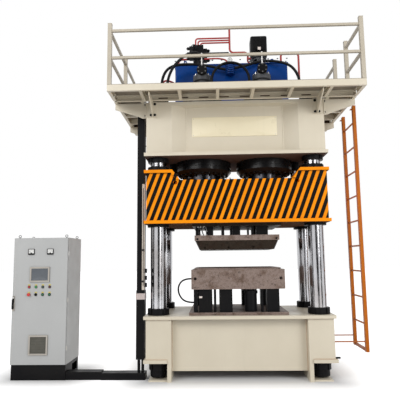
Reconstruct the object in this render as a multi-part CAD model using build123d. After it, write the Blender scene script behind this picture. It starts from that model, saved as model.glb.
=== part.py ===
"""Four-column hydraulic moulding press with its service platform, power unit and control cabinet.

Millimetres, +Z up. The origin is on the floor, at the centre between the four columns.
+X is the operator's right, and the operator stands on the -Y side.
"""
import os
from math import atan2, pi, radians, tan

from build123d import *

os.makedirs("parts", exist_ok=True)

# Press frame
frame_width = 2610
frame_depth = 1300
plate_overhang = 30
column_inset_x = 155
column_inset_y = 200
column_diameter = 230
column_end_chamfer = 10
bore_clearance = 0.5
running_clearance = 0.3

# Bed
bed_height = 890
bed_plate = 45
bed_pilaster = 355
bed_recess = 120
bed_ground_gap = 125
corner_notch_width = 300
corner_notch_depth = 345
corner_notch_height = 255
shelf_plate = 45
foot_plate = 22
foot_inset = 35

# Crown
crown_bottom = 3180
crown_height = 820
crown_plate = 50
crown_pilaster = 375
crown_recess = 150
crown_slope_width = 205

# Round nuts
nut_diameter = 310
nut_height = 92
lower_nut_diameter = 270
crown_nut_height = 70
lower_nut_height = 120
nut_slot_count = 6
nut_slot_width = 26
nut_slot_depth = 14
nut_chamfer = 6
column_floor_gap = 42
column_top_reach = 60
column_eye_diameter = 48
column_eye_depth = 90

# Main cylinders and rams
cylinder_spacing = 970
cylinder_diameter = 700
cylinder_wall = 45
cylinder_below_crown = 214
cylinder_above_crown = 60
cylinder_head = 160
cylinder_edge = 12
cylinder_shoulder = 40
gland_height = 130
ram_diameter = 580
ram_reach = 620
ram_edge = 20

# Return cylinders
return_inset = 210
return_diameter = 180
return_wall = 18
return_rod_diameter = 90
return_below_crown = 130
return_in_crown = 260
return_cap = 30
return_end_gap = 60
return_rod_seat = 300

# Slide
slide_bottom = 2190
slide_shoulder_height = 783
slide_middle_height = 633
slide_plate = 45
shoulder_width = 380
shoulder_slope = 115
slide_gland_diameter = 318
guide_gland_edge = 5
guide_gland_lead = 4
upper_gland_height = 70
lower_gland_height = 42
lifting_hole = 60
lifting_hole_inset = 43
lifting_hole_drop = 37
slide_bore_clearance = 2.5

# Tools
clamp_width = 1290
clamp_depth = 1060
clamp_plate = 38
spacer_height = 132
spacer_depth = 90
punch_plate_width = 1230
punch_plate_depth = 1030
punch_plate = 75
punch_top_width = 1220
punch_top_depth = 1016
punch_height = 132
punch_taper = 62
punch_corner = 95
punch_notch_width = 36
punch_notch_height = 45
die_width = 1330
die_depth = 1160
die_height = 274
die_wall = 50
die_clearance = 7
die_cavity_depth = 150
die_rim = 22
cross_hole = 46
die_base_width = 1400
die_base_depth = 1200
die_base_plate = 38
riser_height = 322
riser_depth = 170
ejector_cylinder = 176
ejector_rod = 36

# Platform
platform_side = 475
platform_walkway = 500
channel_height = 90
channel_flange = 45
channel_web = 8
deck_plate = 6
deck_gap = 12
joist_pitch = 480
bracket_plate = 12
bracket_root = 230
bracket_tip = 88
front_bracket_width = 122
front_bracket_inset = 99
bolt_diameter = 20
bolt_head = 32
bolt_head_height = bolt_diameter * 0.65
post_size = 55
post_cap = 6
post_cap_lip = 2
post_height = 895
rail_size = 35
top_rail_height = 800
mid_rail_height = 400
ladder_gate_start = -395
ladder_gate_end = 250

# Ladder
ladder_gap = 30
ladder_front = -350
ladder_width = 560
ladder_bottom = 335
ladder_stile = 45
ladder_stile_depth = 60
rung_diameter = 26
rung_pitch = 375
first_rung = 725
ladder_top = 3975

# Power unit on the crown
tank_width = 1890
tank_depth = 480
tank_height = 685
tank_stand = 240
tank_foot_width = 80
tank_foot_inset = 20
tank_lid = 15
tank_lid_overhang = 15
tank_fold = 24
lug_width = 85
lug_height = 70
lug_plate = 12
lug_hole = 36
motor_x = 487
motor_y = 400
motor_width = 280
motor_height = 350
motor_corner = 34
motor_fin_count = 9
motor_fin_depth = 10
motor_fin_width = 8
bell_diameter = 210
bell_height = 180
prefill_flange = 303
prefill_flange_height = 90
prefill_neck = 230
prefill_neck_height = 330
prefill_foot = 20
prefill_edge = 8
prefill_cone_height = 140
prefill_cone_top = 56
prefill_arm = 140
prefill_cap = 166
prefill_cap_start = 120
prefill_cap_end = 200
prefill_cap_rise = 57
filter_x = -20
filter_y = 75
filter_diameter = 110
filter_height = 190
filter_fins = 6
filter_fin = 150
gauge_diameter = 84
gauge_stem_diameter = 18
gauge_rim = 5
gauge_dish = 4
gauge_depth = 46
manifold_x = -555
manifold_y = 360
manifold_width = 180
manifold_depth = 200
manifold_height = 270
manifold_stand = 130
valve_size = 62
valve_count = 3
wheel_diameter = 96
wheel_rim = 12
wheel_hub_height = 19.2
wheel_spoke_width = 8.4
wheel_spoke_height = 7.2
wheel_hub = 26
wheel_spokes = 3
lower_wheel_share = 0.35
upper_wheel_share = 0.75
wheel_stem = 16
pressure_pipe = 34
return_pipe = 42
pipe_bend = 70
hose_diameter = 44
bend_share = 0.45
tool_hose_diameter = 24

# Cable trunk and duct
trunk_gap = 46.5
trunk_y = -450
trunk_width = 105
trunk_depth = 140
trunk_wall = 4
trunk_bottom = 280
trunk_top = 3900
trunk_foot_width = 118
trunk_foot_top = 1240
trunk_band_bottom = 1113
trunk_band_height = 86
trunk_band_proud = 5
duct_height = 112
duct_depth = 150
duct_wall = 3
duct_first = 502
duct_end_gap = 25
duct_y = -430
duct_step = 14
conduit_diameter = 42
strip_width = 38
strip_thickness = 12
strip_bottom = 1250
strip_top = 2787
strip_shift = 45
strip_stand = 28
switch_size = 34
switch_height = 60
switch_pitch = 100
switch_count = 3
stub_diameter = 26
stub_length = 40
stub_setback = 30

# Control cabinet
cabinet_gap = 1157
cabinet_front = -520
cabinet_width = 800
cabinet_depth = 600
cabinet_height = 1800
cabinet_wall = 2.5
cabinet_plinth = 215
plinth_setback = 6
plinth_wall = 3
door_thickness = 25
door_skin = 3
door_gap = 4
door_reveal = 18
hinge_diameter = 14
hinge_length = 60
cabinet_eye = 26
cabinet_eye_shank = 18
cabinet_eye_wire = 9

# Fittings on the cabinet door
meter_width = 92
meter_height = 84
meter_depth = 14
meter_rim = 7
meter_skirt = 20
meter_level = 1812
meter_offsets = (262, 541)
display_width = 290
display_height = 218
display_depth = 12
display_level = 1484
display_offset = 396
control_pitch = 100
control_start = 245
lamp_level = 1306
button_level = 1198
lamp_diameter = 34
lamp_round = 5
lamp_depth = 14
control_ring = 42
control_ring_depth = 6
button_diameter = 29
button_edge = 1.5
button_travel = 5
mushroom_diameter = 48
vent_width = 278
vent_height = 278
vent_level = 490
slat_start = 0.12
slat_rise = 0.75
vent_offset = 402
vent_depth = 12
vent_slats = 11
handle_level = 1080
handle_offset = 22
handle_width = 30
handle_hub = handle_width - 6
handle_length = 190
lever_round = 0.9
lever_share = 0.7

# Smaller sizes of the tools
clamp_slot = 34
clamp_slot_depth = 60
spacer_inset = 20
spacer_spans = ((-600, -560), (-434, -345), (-211, -180), (-67, 52), (217, 247), (284, 454))
punch_notches = (-470, -120, 240)
punch_notch_run = 70
die_rim_inset = 38
die_hole_inset = 55
die_hole_level = 150
die_hole_run = 40
riser_inset = 25
riser_spans = ((-634, -580), (-559, -377), (-264, -83), (407, 581))
ejector_x = 185
ejector_y = 440
ejector_collar = 70
ejector_lip = 12
ejector_step = 30
ejector_rod_y = 520
ejector_rods_at = (-330, 340)

# Smaller sizes of the platform
platform_inner_gap = 40
side_joist_pitch = 384
web_slot_pitch = 300
web_slot_length = 140
web_slot_level = 36
web_slot_height = 18
bracket_nose = 52
bracket_heel = 110
bracket_reach_gap = 60
side_bracket_y = 600
bolt_edge = 32
bolt_washer = 4
brace_level = 140
brace_width = 50
brace_thickness = 10
brace_drop = 60

# Smaller sizes of the power unit
lugs_at = (-770, 690)
lug_inset = 20
motor_flange = 30
motor_cowl = 70
motor_edge = 8
terminal_box = 110
terminal_depth = 46
bell_wall = 14
bell_window = 90
filter_drop = 215
filter_arm = 60
gauge_stem = 22
manifold_leg = 40
valve_coil = 40
valve_coil_diameter = valve_size - 10
valve_nut = 14
wheel_reach = 62
wheel_gap = 0.5
wheel_offset = -70
riser_pipe_x = -12
riser_pipe_setback = 60
riser_pipe_reach = 190
pump_pipe_level = 5196
feed_pipe = 26
feed_pipe_pitch = 42
feed_pipe_bend = 40
pump_pipe_x = 300
drain_level = 129
drain_pipe_diameter = pressure_pipe - 8
left_pipe_x = -905
left_pipe_level = 75
down_pipe_start = 850
down_pipe_end = 1147
down_pipe_y = 240
down_pipe_rise = 200
arch_left = -330
arch_width = 600
arch_y = -190
arch_top = 4800
socket_height = 60
socket_diameter = hose_diameter + 10

# Smaller sizes of the trunk and the cabinet
trunk_seam = 14
conduit_spread = 28
cam_diameter = 30
cam_height = 22
first_cam_rise = 121
second_cam_rise = 567
switch_rise = 40
roller_diameter = 16
roller_reach = 10
strip_arm = 24
strip_slot = 10
strip_slot_inset = 60
trunk_arm = 40
trunk_arm_plate = 8
trunk_arm_inset = 200
duct_lip = 18
plate_inset = 40
plate_offset = 30
plate_post = 16
plinth_window_low = 50
door_rail_inset = 60
door_rail = 20
hinge_inset = 200
hinge_leaf = 3
hinge_lap = 30
eye_inset = 50
display_bezel = 24
collar_reach = 8
button_floor = 1
button_stand = 6
mushroom_height = 16
mushroom_round = 0.6
grip_width = 8
grip_height = 12
vent_border = 16
handle_seat_depth = 10
handle_lever = 26
handle_clear = 0.5

# Derived levels and places
half_width = frame_width / 2
half_depth = frame_depth / 2
column_pitch_x = frame_width - 2 * column_inset_x
column_pitch_y = frame_depth - 2 * column_inset_y
front = -half_depth
plate_half_width = half_width + plate_overhang
plate_half_depth = half_depth + plate_overhang
crown_top = crown_bottom + crown_height
slide_middle = slide_bottom + slide_middle_height
slide_shoulder = slide_bottom + slide_shoulder_height
shoulder_start = half_width - shoulder_width
shoulder_end = shoulder_start - shoulder_slope
lifting_hole_x = shoulder_start - lifting_hole_inset
platform_width = frame_width + 2 * platform_side
front_bracket_x = half_width - front_bracket_inset
trunk_x = -half_width - trunk_gap - trunk_width / 2
strip_x = trunk_x + strip_shift
strip_y = trunk_y - trunk_depth / 2 - strip_stand
deck_level = crown_top + channel_height
tank_floor = crown_top + tank_stand
tank_top = tank_floor + tank_height
lid_top = tank_top + tank_lid
cylinder_bottom = crown_bottom - cylinder_below_crown
cylinder_top = crown_top + cylinder_above_crown
clamp_level = slide_bottom - clamp_plate
punch_plate_top = clamp_level - spacer_height
punch_plate_bottom = punch_plate_top - punch_plate
punch_bottom = punch_plate_bottom - punch_height
die_bottom = bed_height + die_base_plate + riser_height
die_top = die_bottom + die_height
cabinet_left = -half_width - cabinet_gap - cabinet_width
cabinet_right = cabinet_left + cabinet_width
duct_split = cabinet_right + duct_first
duct_end = -half_width - duct_end_gap
hinge_levels = (hinge_inset, (cabinet_height - hinge_length) / 2,
                cabinet_height - hinge_inset - hinge_length)
cabinet_floor = cabinet_plinth
base_window_inset = 60
cabinet_top = cabinet_plinth + cabinet_height
door_front = cabinet_front - door_gap - door_thickness
signs = (-1, 1)
columns_at = [(sx * column_pitch_x / 2, sy * column_pitch_y / 2) for sx in signs for sy in signs]
cylinders_at = [sx * cylinder_spacing / 2 for sx in signs]
returns_at = [sx * (column_pitch_x / 2 - return_inset) for sx in signs]


def block(x0, x1, y0, y1, z0, z1):
    """A plate or bar between two corners."""
    centre = Pos((x0 + x1) / 2, (y0 + y1) / 2, (z0 + z1) / 2)
    return centre * Box(x1 - x0, y1 - y0, z1 - z0)


def upright(diameter, z0, z1, x=0, y=0):
    """A vertical round bar."""
    return Pos(x, y, (z0 + z1) / 2) * Cylinder(diameter / 2, z1 - z0)


def bar_along_y(diameter, x, y0, y1, z):
    """A round bar from front to back."""
    return Pos(x, (y0 + y1) / 2, z) * Rot(90, 0, 0) * Cylinder(diameter / 2, y1 - y0)


def bar_along_x(diameter, x0, x1, y, z):
    """A round bar from side to side."""
    return Pos((x0 + x1) / 2, y, z) * Rot(0, 90, 0) * Cylinder(diameter / 2, x1 - x0)


def turned(profile, x=0, y=0):
    """A turned piece on a vertical axis, from points of radius and height."""
    outline = Polyline(*[(r, 0, z) for r, z in profile], close=True)
    return Pos(x, y, 0) * revolve(make_face(outline), Axis.Z)


def from_above(points, z0, z1):
    """A piece cut to an outline seen from above."""
    outline = Polyline(*[(x, y, z0) for x, y in points], close=True)
    return extrude(make_face(outline), z1 - z0, dir=(0, 0, 1))


def from_front(points, y0, y1):
    """A piece cut to an outline seen from the front."""
    outline = Polyline(*[(x, y0, z) for x, z in points], close=True)
    return extrude(make_face(outline), y1 - y0, dir=(0, 1, 0))


def from_side(points, x0, x1):
    """A piece cut to an outline seen from the side."""
    outline = Polyline(*[(x0, y, z) for y, z in points], close=True)
    return extrude(make_face(outline), x1 - x0, dir=(1, 0, 0))


def joined(pieces):
    """Welds the pieces into one."""
    pieces = list(pieces)
    return pieces[0] + pieces[1:] if len(pieces) > 1 else pieces[0]


def save(name, pieces):
    """Writes one sub-part."""
    solids = []
    for piece in pieces:
        solids.extend(piece.solids())
    export_step(Compound(solids) if len(solids) > 1 else solids[0], f"parts/{name}.step")


def round_nut(diameter, z0, height, x, y):
    """A round nut with spanner slots about its rim."""
    outer = diameter / 2
    bore = column_diameter / 2
    nut = turned([(bore, z0), (outer - nut_chamfer, z0), (outer, z0 + nut_chamfer),
                  (outer, z0 + height - nut_chamfer), (outer - nut_chamfer, z0 + height),
                  (bore, z0 + height)])
    slot = block(outer - nut_slot_depth, outer + 1, -nut_slot_width / 2, nut_slot_width / 2,
                 z0 - 1, z0 + height + 1)
    slots = [Rot(0, 0, turn * 360 / nut_slot_count) * slot for turn in range(nut_slot_count)]
    return Pos(x, y, 0) * (nut - slots)


def corner_block(sx, sy, near, far, z0, z1):
    """A block at one corner of the frame, between two points given for the right rear corner."""
    xs = sorted((sx * near[0], sx * far[0]))
    ys = sorted((sy * near[1], sy * far[1]))
    return block(*xs, *ys, z0, z1)


def bed_weldment():
    """The bed's plates and blocks: set-back panels between corner pilasters, and notched corners."""
    inner = half_width - bed_pilaster
    notch_x = half_width - corner_notch_width
    notch_y = half_depth - corner_notch_depth
    foot_x, foot_y = half_width - foot_inset, half_depth - foot_inset
    shelf_top = corner_notch_height + shelf_plate
    low, high = bed_ground_gap, bed_height - bed_plate
    panel = front + bed_recess
    pieces = [block(-plate_half_width, plate_half_width, -plate_half_depth, plate_half_depth,
                    high, bed_height),
              block(-inner, inner, panel, -panel, low, high)]
    for sx in signs:
        side = sorted((sx * inner, sx * half_width))
        pieces.append(block(*side, front, -front, shelf_top, high))
        pieces.append(block(*side, -notch_y, notch_y, low, shelf_top))
    for sx in signs:
        for sy in signs:
            pieces.append(corner_block(sx, sy, (inner, notch_y), (notch_x, half_depth), 0, shelf_top))
            pieces.append(corner_block(sx, sy, (inner, notch_y - bed_recess), (foot_x, notch_y), 0, low))
            pieces.append(corner_block(sx, sy, (notch_x, notch_y), (foot_x, foot_y), 0, foot_plate))
            pieces.append(corner_block(sx, sy, (notch_x, notch_y),
                                       (plate_half_width, plate_half_depth),
                                       corner_notch_height, shelf_top))
    bores = [upright(column_diameter + 2 * bore_clearance, foot_plate, bed_height + 1, x, y)
             for x, y in columns_at]
    return [piece - bores for piece in pieces]


def column(x, y):
    """A ground column, chamfered at both ends, with a tapped lifting hole in its top."""
    top = crown_top + nut_height + column_top_reach
    radius = column_diameter / 2
    body = turned([(0, column_floor_gap), (radius - column_end_chamfer, column_floor_gap),
                   (radius, column_floor_gap + column_end_chamfer), (radius, top - column_end_chamfer),
                   (radius - column_end_chamfer, top), (0, top)])
    return Pos(x, y, 0) * (body - upright(column_eye_diameter, top - column_eye_depth, top + 1))


def crown_weldment():
    """The crown's plates and blocks: set-back panels that slant out to the pilasters."""
    inner = half_width - crown_pilaster
    centre = inner - crown_slope_width
    panel = front + crown_recess
    low, high = crown_bottom + crown_plate, crown_top - crown_plate
    pieces = [block(-plate_half_width, plate_half_width, -plate_half_depth, plate_half_depth,
                    crown_bottom, low),
              block(-half_width, half_width, front, -front, high, crown_top),
              block(-centre, centre, panel, -panel, low, high)]
    side = [(centre, panel), (inner, front), (half_width, front), (half_width, -front),
            (inner, -front), (centre, -panel)]
    for sx in signs:
        pieces.append(from_above([(sx * x, y) for x, y in side], low, high))
    bores = [upright(column_diameter + 2 * bore_clearance, crown_bottom - 1, crown_top + 1, x, y)
             for x, y in columns_at]
    seats = [upright(cylinder_diameter, crown_bottom - 1, crown_top + 1, x) for x in cylinders_at]
    returns = [upright(return_diameter, crown_bottom - 1, crown_bottom + return_in_crown, x)
               for x in returns_at]
    return [piece - bores - seats - returns for piece in pieces]


def main_cylinder(x):
    """A hollow cylinder hung in the crown, with its gland below and its head above."""
    outer = cylinder_diameter / 2
    inner = outer - cylinder_wall
    bore = ram_diameter / 2 + running_clearance
    low, high = cylinder_bottom, cylinder_top + cylinder_head
    throat = low + gland_height
    return turned([(bore, low), (outer - cylinder_edge, low), (outer, low + cylinder_edge),
                   (outer, high - cylinder_shoulder), (outer - cylinder_shoulder, high), (0, high),
                   (0, high - cylinder_head),
                   (inner, high - cylinder_head), (inner, throat), (bore, throat)], x)


def ram(x):
    """A plain plunger that enters its cylinder and stands on the slide."""
    radius = ram_diameter / 2
    low = slide_middle
    high = cylinder_bottom + ram_reach
    return turned([(0, low), (radius, low), (radius, high - ram_edge), (radius - ram_edge, high),
                   (0, high)], x)


def return_cylinder(x):
    """A slim pull-back cylinder under the crown, open for its rod."""
    outer = return_diameter / 2
    rod = return_rod_diameter / 2 + running_clearance
    inner = outer - return_wall
    low = crown_bottom - return_below_crown
    high = crown_bottom + return_in_crown
    return turned([(rod, low), (outer, low), (outer, high), (0, high), (0, high - return_cap),
                   (inner, high - return_cap), (inner, low + return_cap), (rod, low + return_cap)],
                  x)


def return_rod(x):
    """The rod of a pull-back cylinder, sunk in the slide."""
    high = crown_bottom + return_in_crown - return_cap - return_end_gap
    return upright(return_rod_diameter, slide_bottom + return_rod_seat, high, x)


def slide_weldment():
    """The slide's plates and blocks: raised shoulders over the columns, sloped to the middle."""
    low = slide_bottom + slide_plate
    shoulder_low = slide_shoulder - slide_plate
    pieces = [block(-plate_half_width, plate_half_width, -plate_half_depth, plate_half_depth,
                    slide_bottom, low),
              block(-half_width, half_width, front, -front, low, slide_middle)]
    plate_foot = shoulder_end + slide_plate
    plate_bend = shoulder_start + slide_plate / 2
    for sx in signs:
        shoulder = [(half_width, slide_middle), (half_width, shoulder_low),
                    (plate_bend, shoulder_low), (plate_foot, slide_middle)]
        pieces.append(from_front([(sx * x, z) for x, z in shoulder], front, -front))
        flange = [(plate_half_width, slide_shoulder), (shoulder_start, slide_shoulder),
                  (plate_bend, shoulder_low), (plate_half_width, shoulder_low)]
        pieces.append(from_front([(sx * x, z) for x, z in flange], -plate_half_depth,
                                 plate_half_depth))
        slope = [(shoulder_start, slide_shoulder), (shoulder_end, slide_middle),
                 (plate_foot, slide_middle), (plate_bend, shoulder_low)]
        pieces.append(from_front([(sx * x, z) for x, z in slope], -plate_half_depth,
                                 plate_half_depth))
    bores = [upright(column_diameter + 2 * slide_bore_clearance, slide_bottom - 1,
                     slide_shoulder + 1, x, y) for x, y in columns_at]
    rods = [upright(return_rod_diameter, slide_bottom + return_rod_seat, slide_shoulder + 1, x)
            for x in returns_at]
    lifting = [bar_along_y(lifting_hole, sx * lifting_hole_x, front - 1, front + lifting_hole,
                           slide_middle - lifting_hole_drop) for sx in signs]
    return [piece - bores - rods - lifting for piece in pieces]


def guide_gland(z0, height, x, y):
    """A bolted gland that guides the slide on a column."""
    bore = column_diameter / 2 + running_clearance
    outer = slide_gland_diameter / 2
    edge, lead = guide_gland_edge, guide_gland_lead
    return turned([(bore + lead, z0), (outer, z0), (outer, z0 + height - edge),
                   (outer - edge, z0 + height), (bore, z0 + height), (bore, z0 + lead)], x, y)


def box_outline(width, depth, corner):
    """The outline of a rectangular tool with rounded corners."""
    return RectangleRounded(width, depth, corner)


def clamp_plate_piece():
    """The plate that carries the upper tool, with open slots for its clamping bolts."""
    plate = block(-clamp_width / 2, clamp_width / 2, -clamp_depth / 2, clamp_depth / 2,
                  clamp_level, slide_bottom)
    slots = []
    for sx in signs:
        for place in (-clamp_depth / 4, clamp_depth / 4):
            edge = sx * clamp_width / 2
            slots.append(block(*sorted((edge - sx * clamp_slot_depth, edge + sx)),
                               place - clamp_slot / 2, place + clamp_slot / 2,
                               clamp_level - 1, slide_bottom + 1))
    return plate - slots


def spacer_blocks():
    """Blocks between the clamp plate and the punch plate, in a front and a rear row."""
    low, high = punch_plate_top, clamp_level
    depth_from = punch_plate_depth / 2 - spacer_inset
    rows = []
    for left, right in spacer_spans:
        for sy in signs:
            ys = sorted((sy * depth_from, sy * (depth_from - spacer_depth)))
            rows.append(block(left, right, *ys, low, high))
    return rows


def punch_piece():
    """The tapered punch, with rounded corners and notches along its lower edge."""
    face = Pos(0, 0, punch_plate_bottom) * box_outline(punch_top_width, punch_top_depth, punch_corner)
    angle = taper_angle(punch_taper, punch_height)
    body = extrude(face, punch_height, dir=(0, 0, -1), taper=angle)
    notch_top = punch_bottom + punch_notch_height
    for place in punch_notches:
        for sy in signs:
            ys = sorted((sy * (punch_top_depth / 2 + 1),
                         sy * (punch_top_depth / 2 - punch_notch_run)))
            body = body - block(place - punch_notch_width / 2, place + punch_notch_width / 2,
                                *ys, punch_bottom - 1, notch_top)
    return body


def taper_angle(inset, height):
    """The draft, in degrees, that sets a wall in by this much over this height."""
    return atan2(inset, height) * 180 / pi


def die_block():
    """The open die: a tapered cavity inside thick walls with a raised rim and cross holes."""
    outer = block(-die_width / 2, die_width / 2, -die_depth / 2, die_depth / 2, die_bottom, die_top)
    rim_width = die_width - 2 * die_rim_inset
    rim_depth = die_depth - 2 * die_rim_inset
    corner = punch_corner + die_clearance
    rim = extrude(Pos(0, 0, die_top) * box_outline(rim_width, rim_depth, corner), die_rim)
    mouth = box_outline(die_width - 2 * die_wall, die_depth - 2 * die_wall, corner)
    angle = taper_angle(punch_taper, punch_height)
    cavity = extrude(Pos(0, 0, die_top + die_rim) * mouth, die_cavity_depth + die_rim,
                     dir=(0, 0, -1), taper=angle)
    holes = []
    for place in (-die_depth / 2 + die_hole_inset, die_depth / 2 - die_hole_inset):
        holes.append(bar_along_x(cross_hole, -die_width / 2 - 1, die_width / 2 + 1, place,
                                 die_bottom + die_hole_level))
    for sx in signs:
        holes.append(bar_along_y(cross_hole, sx * (die_width / 2 - die_hole_inset),
                                 -die_depth / 2 - 1, -die_depth / 2 + die_hole_run,
                                 die_bottom + die_hole_level))
    return outer + rim - cavity - holes


def die_base():
    """The bolster plate under the lower tool."""
    return block(-die_base_width / 2, die_base_width / 2, -die_base_depth / 2, die_base_depth / 2,
                 bed_height, bed_height + die_base_plate)


def risers():
    """Black blocks that lift the die off its base, in a front and a rear row."""
    low = bed_height + die_base_plate
    outer = die_depth / 2 - riser_inset
    rows = []
    for left, right in riser_spans:
        for sy in signs:
            ys = sorted((sy * outer, sy * (outer - riser_depth)))
            rows.append(block(left, right, *ys, low, die_bottom))
    return rows


def ejector_cylinders():
    """Short cylinders between the base and the die, with a collar at the top."""
    low = bed_height + die_base_plate
    radius = ejector_cylinder / 2
    lip, step = ejector_lip, ejector_step
    profile = [(0, low), (radius, low), (radius, die_bottom - ejector_collar),
               (radius + lip, die_bottom - ejector_collar), (radius + lip, die_bottom - step),
               (radius - step, die_bottom - step), (radius - step, die_bottom), (0, die_bottom)]
    return [turned(profile, ejector_x, sy * ejector_y) for sy in signs]


def ejector_rods():
    """Bright rods beside the risers."""
    low = bed_height + die_base_plate
    return [upright(ejector_rod, low, die_bottom, x, sy * ejector_rod_y)
            for x in ejector_rods_at for sy in signs]


def channel_x(x0, x1, y, side):
    """A platform channel from side to side, its flanges towards the given side."""
    z0, z1 = crown_top, deck_level
    web, flange = channel_web, channel_flange
    profile = [(y, z0), (y + side * flange, z0), (y + side * flange, z0 + web),
               (y + side * web, z0 + web), (y + side * web, z1 - web),
               (y + side * flange, z1 - web), (y + side * flange, z1), (y, z1)]
    return from_side(profile, x0, x1)


def channel_y(y0, y1, x, side):
    """A platform channel from front to back, its flanges towards the given side."""
    z0, z1 = crown_top, deck_level
    web, flange = channel_web, channel_flange
    profile = [(x, z0), (x + side * flange, z0), (x + side * flange, z0 + web),
               (x + side * web, z0 + web), (x + side * web, z1 - web),
               (x + side * flange, z1 - web), (x + side * flange, z1), (x, z1)]
    return from_front(profile, y0, y1)


def platform_frame():
    """Channels about the crown: an outer ring, an inner ring and joists between them."""
    outer_x = platform_width / 2
    outer_y = half_depth + platform_walkway
    inner_x = half_width + platform_inner_gap
    inner_y = half_depth + platform_inner_gap
    flange = channel_flange
    channels = []
    joists = int(2 * inner_x // joist_pitch)
    pitch = 2 * inner_x / joists
    for sy in signs:
        channels.append(channel_x(-outer_x, outer_x, sy * outer_y, -sy))
        inner = channel_x(-outer_x + flange, outer_x - flange, sy * inner_y, sy)
        channels.append(inner - web_slots(sy * inner_y, inner_x))
        ys = sorted((sy * (inner_y + flange), sy * (outer_y - flange)))
        for number in range(joists + 1):
            x = -inner_x + number * pitch
            channels.append(channel_y(*ys, x, -1 if x > 0 else 1))
    for sx in signs:
        channels.append(channel_y(-outer_y + flange, outer_y - flange, sx * outer_x, -sx)
                        - [block(-outer_x, outer_x, *sorted((sy * inner_y, sy * (inner_y + flange))),
                                 crown_top - 1, deck_level + 1) for sy in signs])
        channels.append(channel_y(-inner_y, inner_y, sx * inner_x, sx))
        xs = sorted((sx * (inner_x + flange), sx * (outer_x - flange)))
        for place in (-side_joist_pitch, 0, side_joist_pitch):
            channels.append(channel_x(*xs, place, 1))
    return channels


def web_slots(y, inner_x):
    """A row of drain slots along the web of an inner channel."""
    count = int(2 * inner_x // web_slot_pitch)
    low = crown_top + web_slot_level
    ys = sorted((y - channel_web - 1, y + channel_web + 1))
    places = [(number - (count - 1) / 2) * web_slot_pitch for number in range(count)]
    return [block(x - web_slot_length / 2, x + web_slot_length / 2, *ys, low, low + web_slot_height)
            for x in places]


def deck_plates():
    """Four deck plates on the channels, front, rear, left and right."""
    outer_x = platform_width / 2
    outer_y = half_depth + platform_walkway
    inner_x = half_width + platform_inner_gap
    inner_y = half_depth + platform_inner_gap
    low, high = deck_level, deck_level + deck_plate
    plates = []
    for sy in signs:
        ys = sorted((sy * inner_y, sy * outer_y))
        plates.append(block(-outer_x, outer_x, *ys, low, high))
    for sx in signs:
        xs = sorted((sx * inner_x, sx * outer_x))
        plates.append(block(*xs, -inner_y + deck_gap, inner_y - deck_gap, low, high))
    return plates


def side_bracket(sx, y):
    """A tapered bracket that holds the platform off the crown's side, with a bolted end plate."""
    root, tip = half_width + bracket_plate, platform_width / 2
    top = crown_top
    outline = [(root, top), (tip, top), (tip, top - bracket_tip),
               (tip - bracket_nose, top - bracket_tip - bracket_nose / 3),
               (root + bracket_heel, top - bracket_root + bracket_heel / 4),
               (root + bracket_heel / 2, top - bracket_root), (root, top - bracket_root)]
    web = from_front([(sx * x, z) for x, z in outline], y - bracket_plate / 2,
                     y + bracket_plate / 2)
    xs = sorted((sx * half_width, sx * root))
    foot = block(*xs, y - front_bracket_width / 2, y + front_bracket_width / 2,
                 top - bracket_root, top)
    return [web, foot]


def end_bracket(sx, sy):
    """A bracket on the crown's front or back, its web tapered out under the platform's edge."""
    root = half_depth + bracket_plate
    tip = half_depth + platform_walkway - bracket_reach_gap
    top = crown_top
    outline = [(root, top), (tip, top), (tip, top - bracket_tip / 2),
               (root + bracket_heel / 2, top - bracket_root), (root, top - bracket_root)]
    x = sx * front_bracket_x
    web = from_side([(sy * y, z) for y, z in outline], x - bracket_plate / 2,
                    x + bracket_plate / 2)
    ys = sorted((sy * half_depth, sy * root))
    foot = block(x - front_bracket_width / 2, x + front_bracket_width / 2, *ys,
                 top - bracket_root, top)
    return [web, foot]


def bracket_bolts():
    """Hexagon bolt heads on the brackets' foot plates, four to a bracket."""
    heads = []
    half = front_bracket_width / 2 - bolt_edge
    levels = (crown_top - bolt_edge, crown_top - bracket_root + bolt_edge)
    for level in levels:
        for sx in signs:
            for sy in signs:
                for offset in (-half, half):
                    face_y = sy * (half_depth + bracket_plate)
                    place = Pos(sx * front_bracket_x + offset, face_y, level) * Rot(-90 * sy, 0, 0)
                    heads.append(place * bolt_piece())
                    face_x = sx * (half_width + bracket_plate)
                    place = Pos(face_x, sy * side_bracket_y + offset, level) * Rot(0, 90 * sx, 0)
                    heads.append(place * bolt_piece())
    return heads


def bolt_piece():
    """A hexagon bolt head on a washer."""
    washer = Pos(0, 0, bolt_washer / 2) * Cylinder(bolt_head / 2 + 3, bolt_washer)
    head = extrude(Pos(0, 0, bolt_washer) * RegularPolygon(bolt_head / 2, 6), bolt_head_height)
    return washer + head


def post(x, y):
    """A railing post of square tube with a cap."""
    half = post_size / 2
    low = deck_level + deck_plate
    tube = block(x - half, x + half, y - half, y + half, low, low + post_height)
    cap = block(x - half - post_cap_lip, x + half + post_cap_lip, y - half - post_cap_lip,
                y + half + post_cap_lip, low + post_height, low + post_height + post_cap)
    return tube + cap


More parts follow.
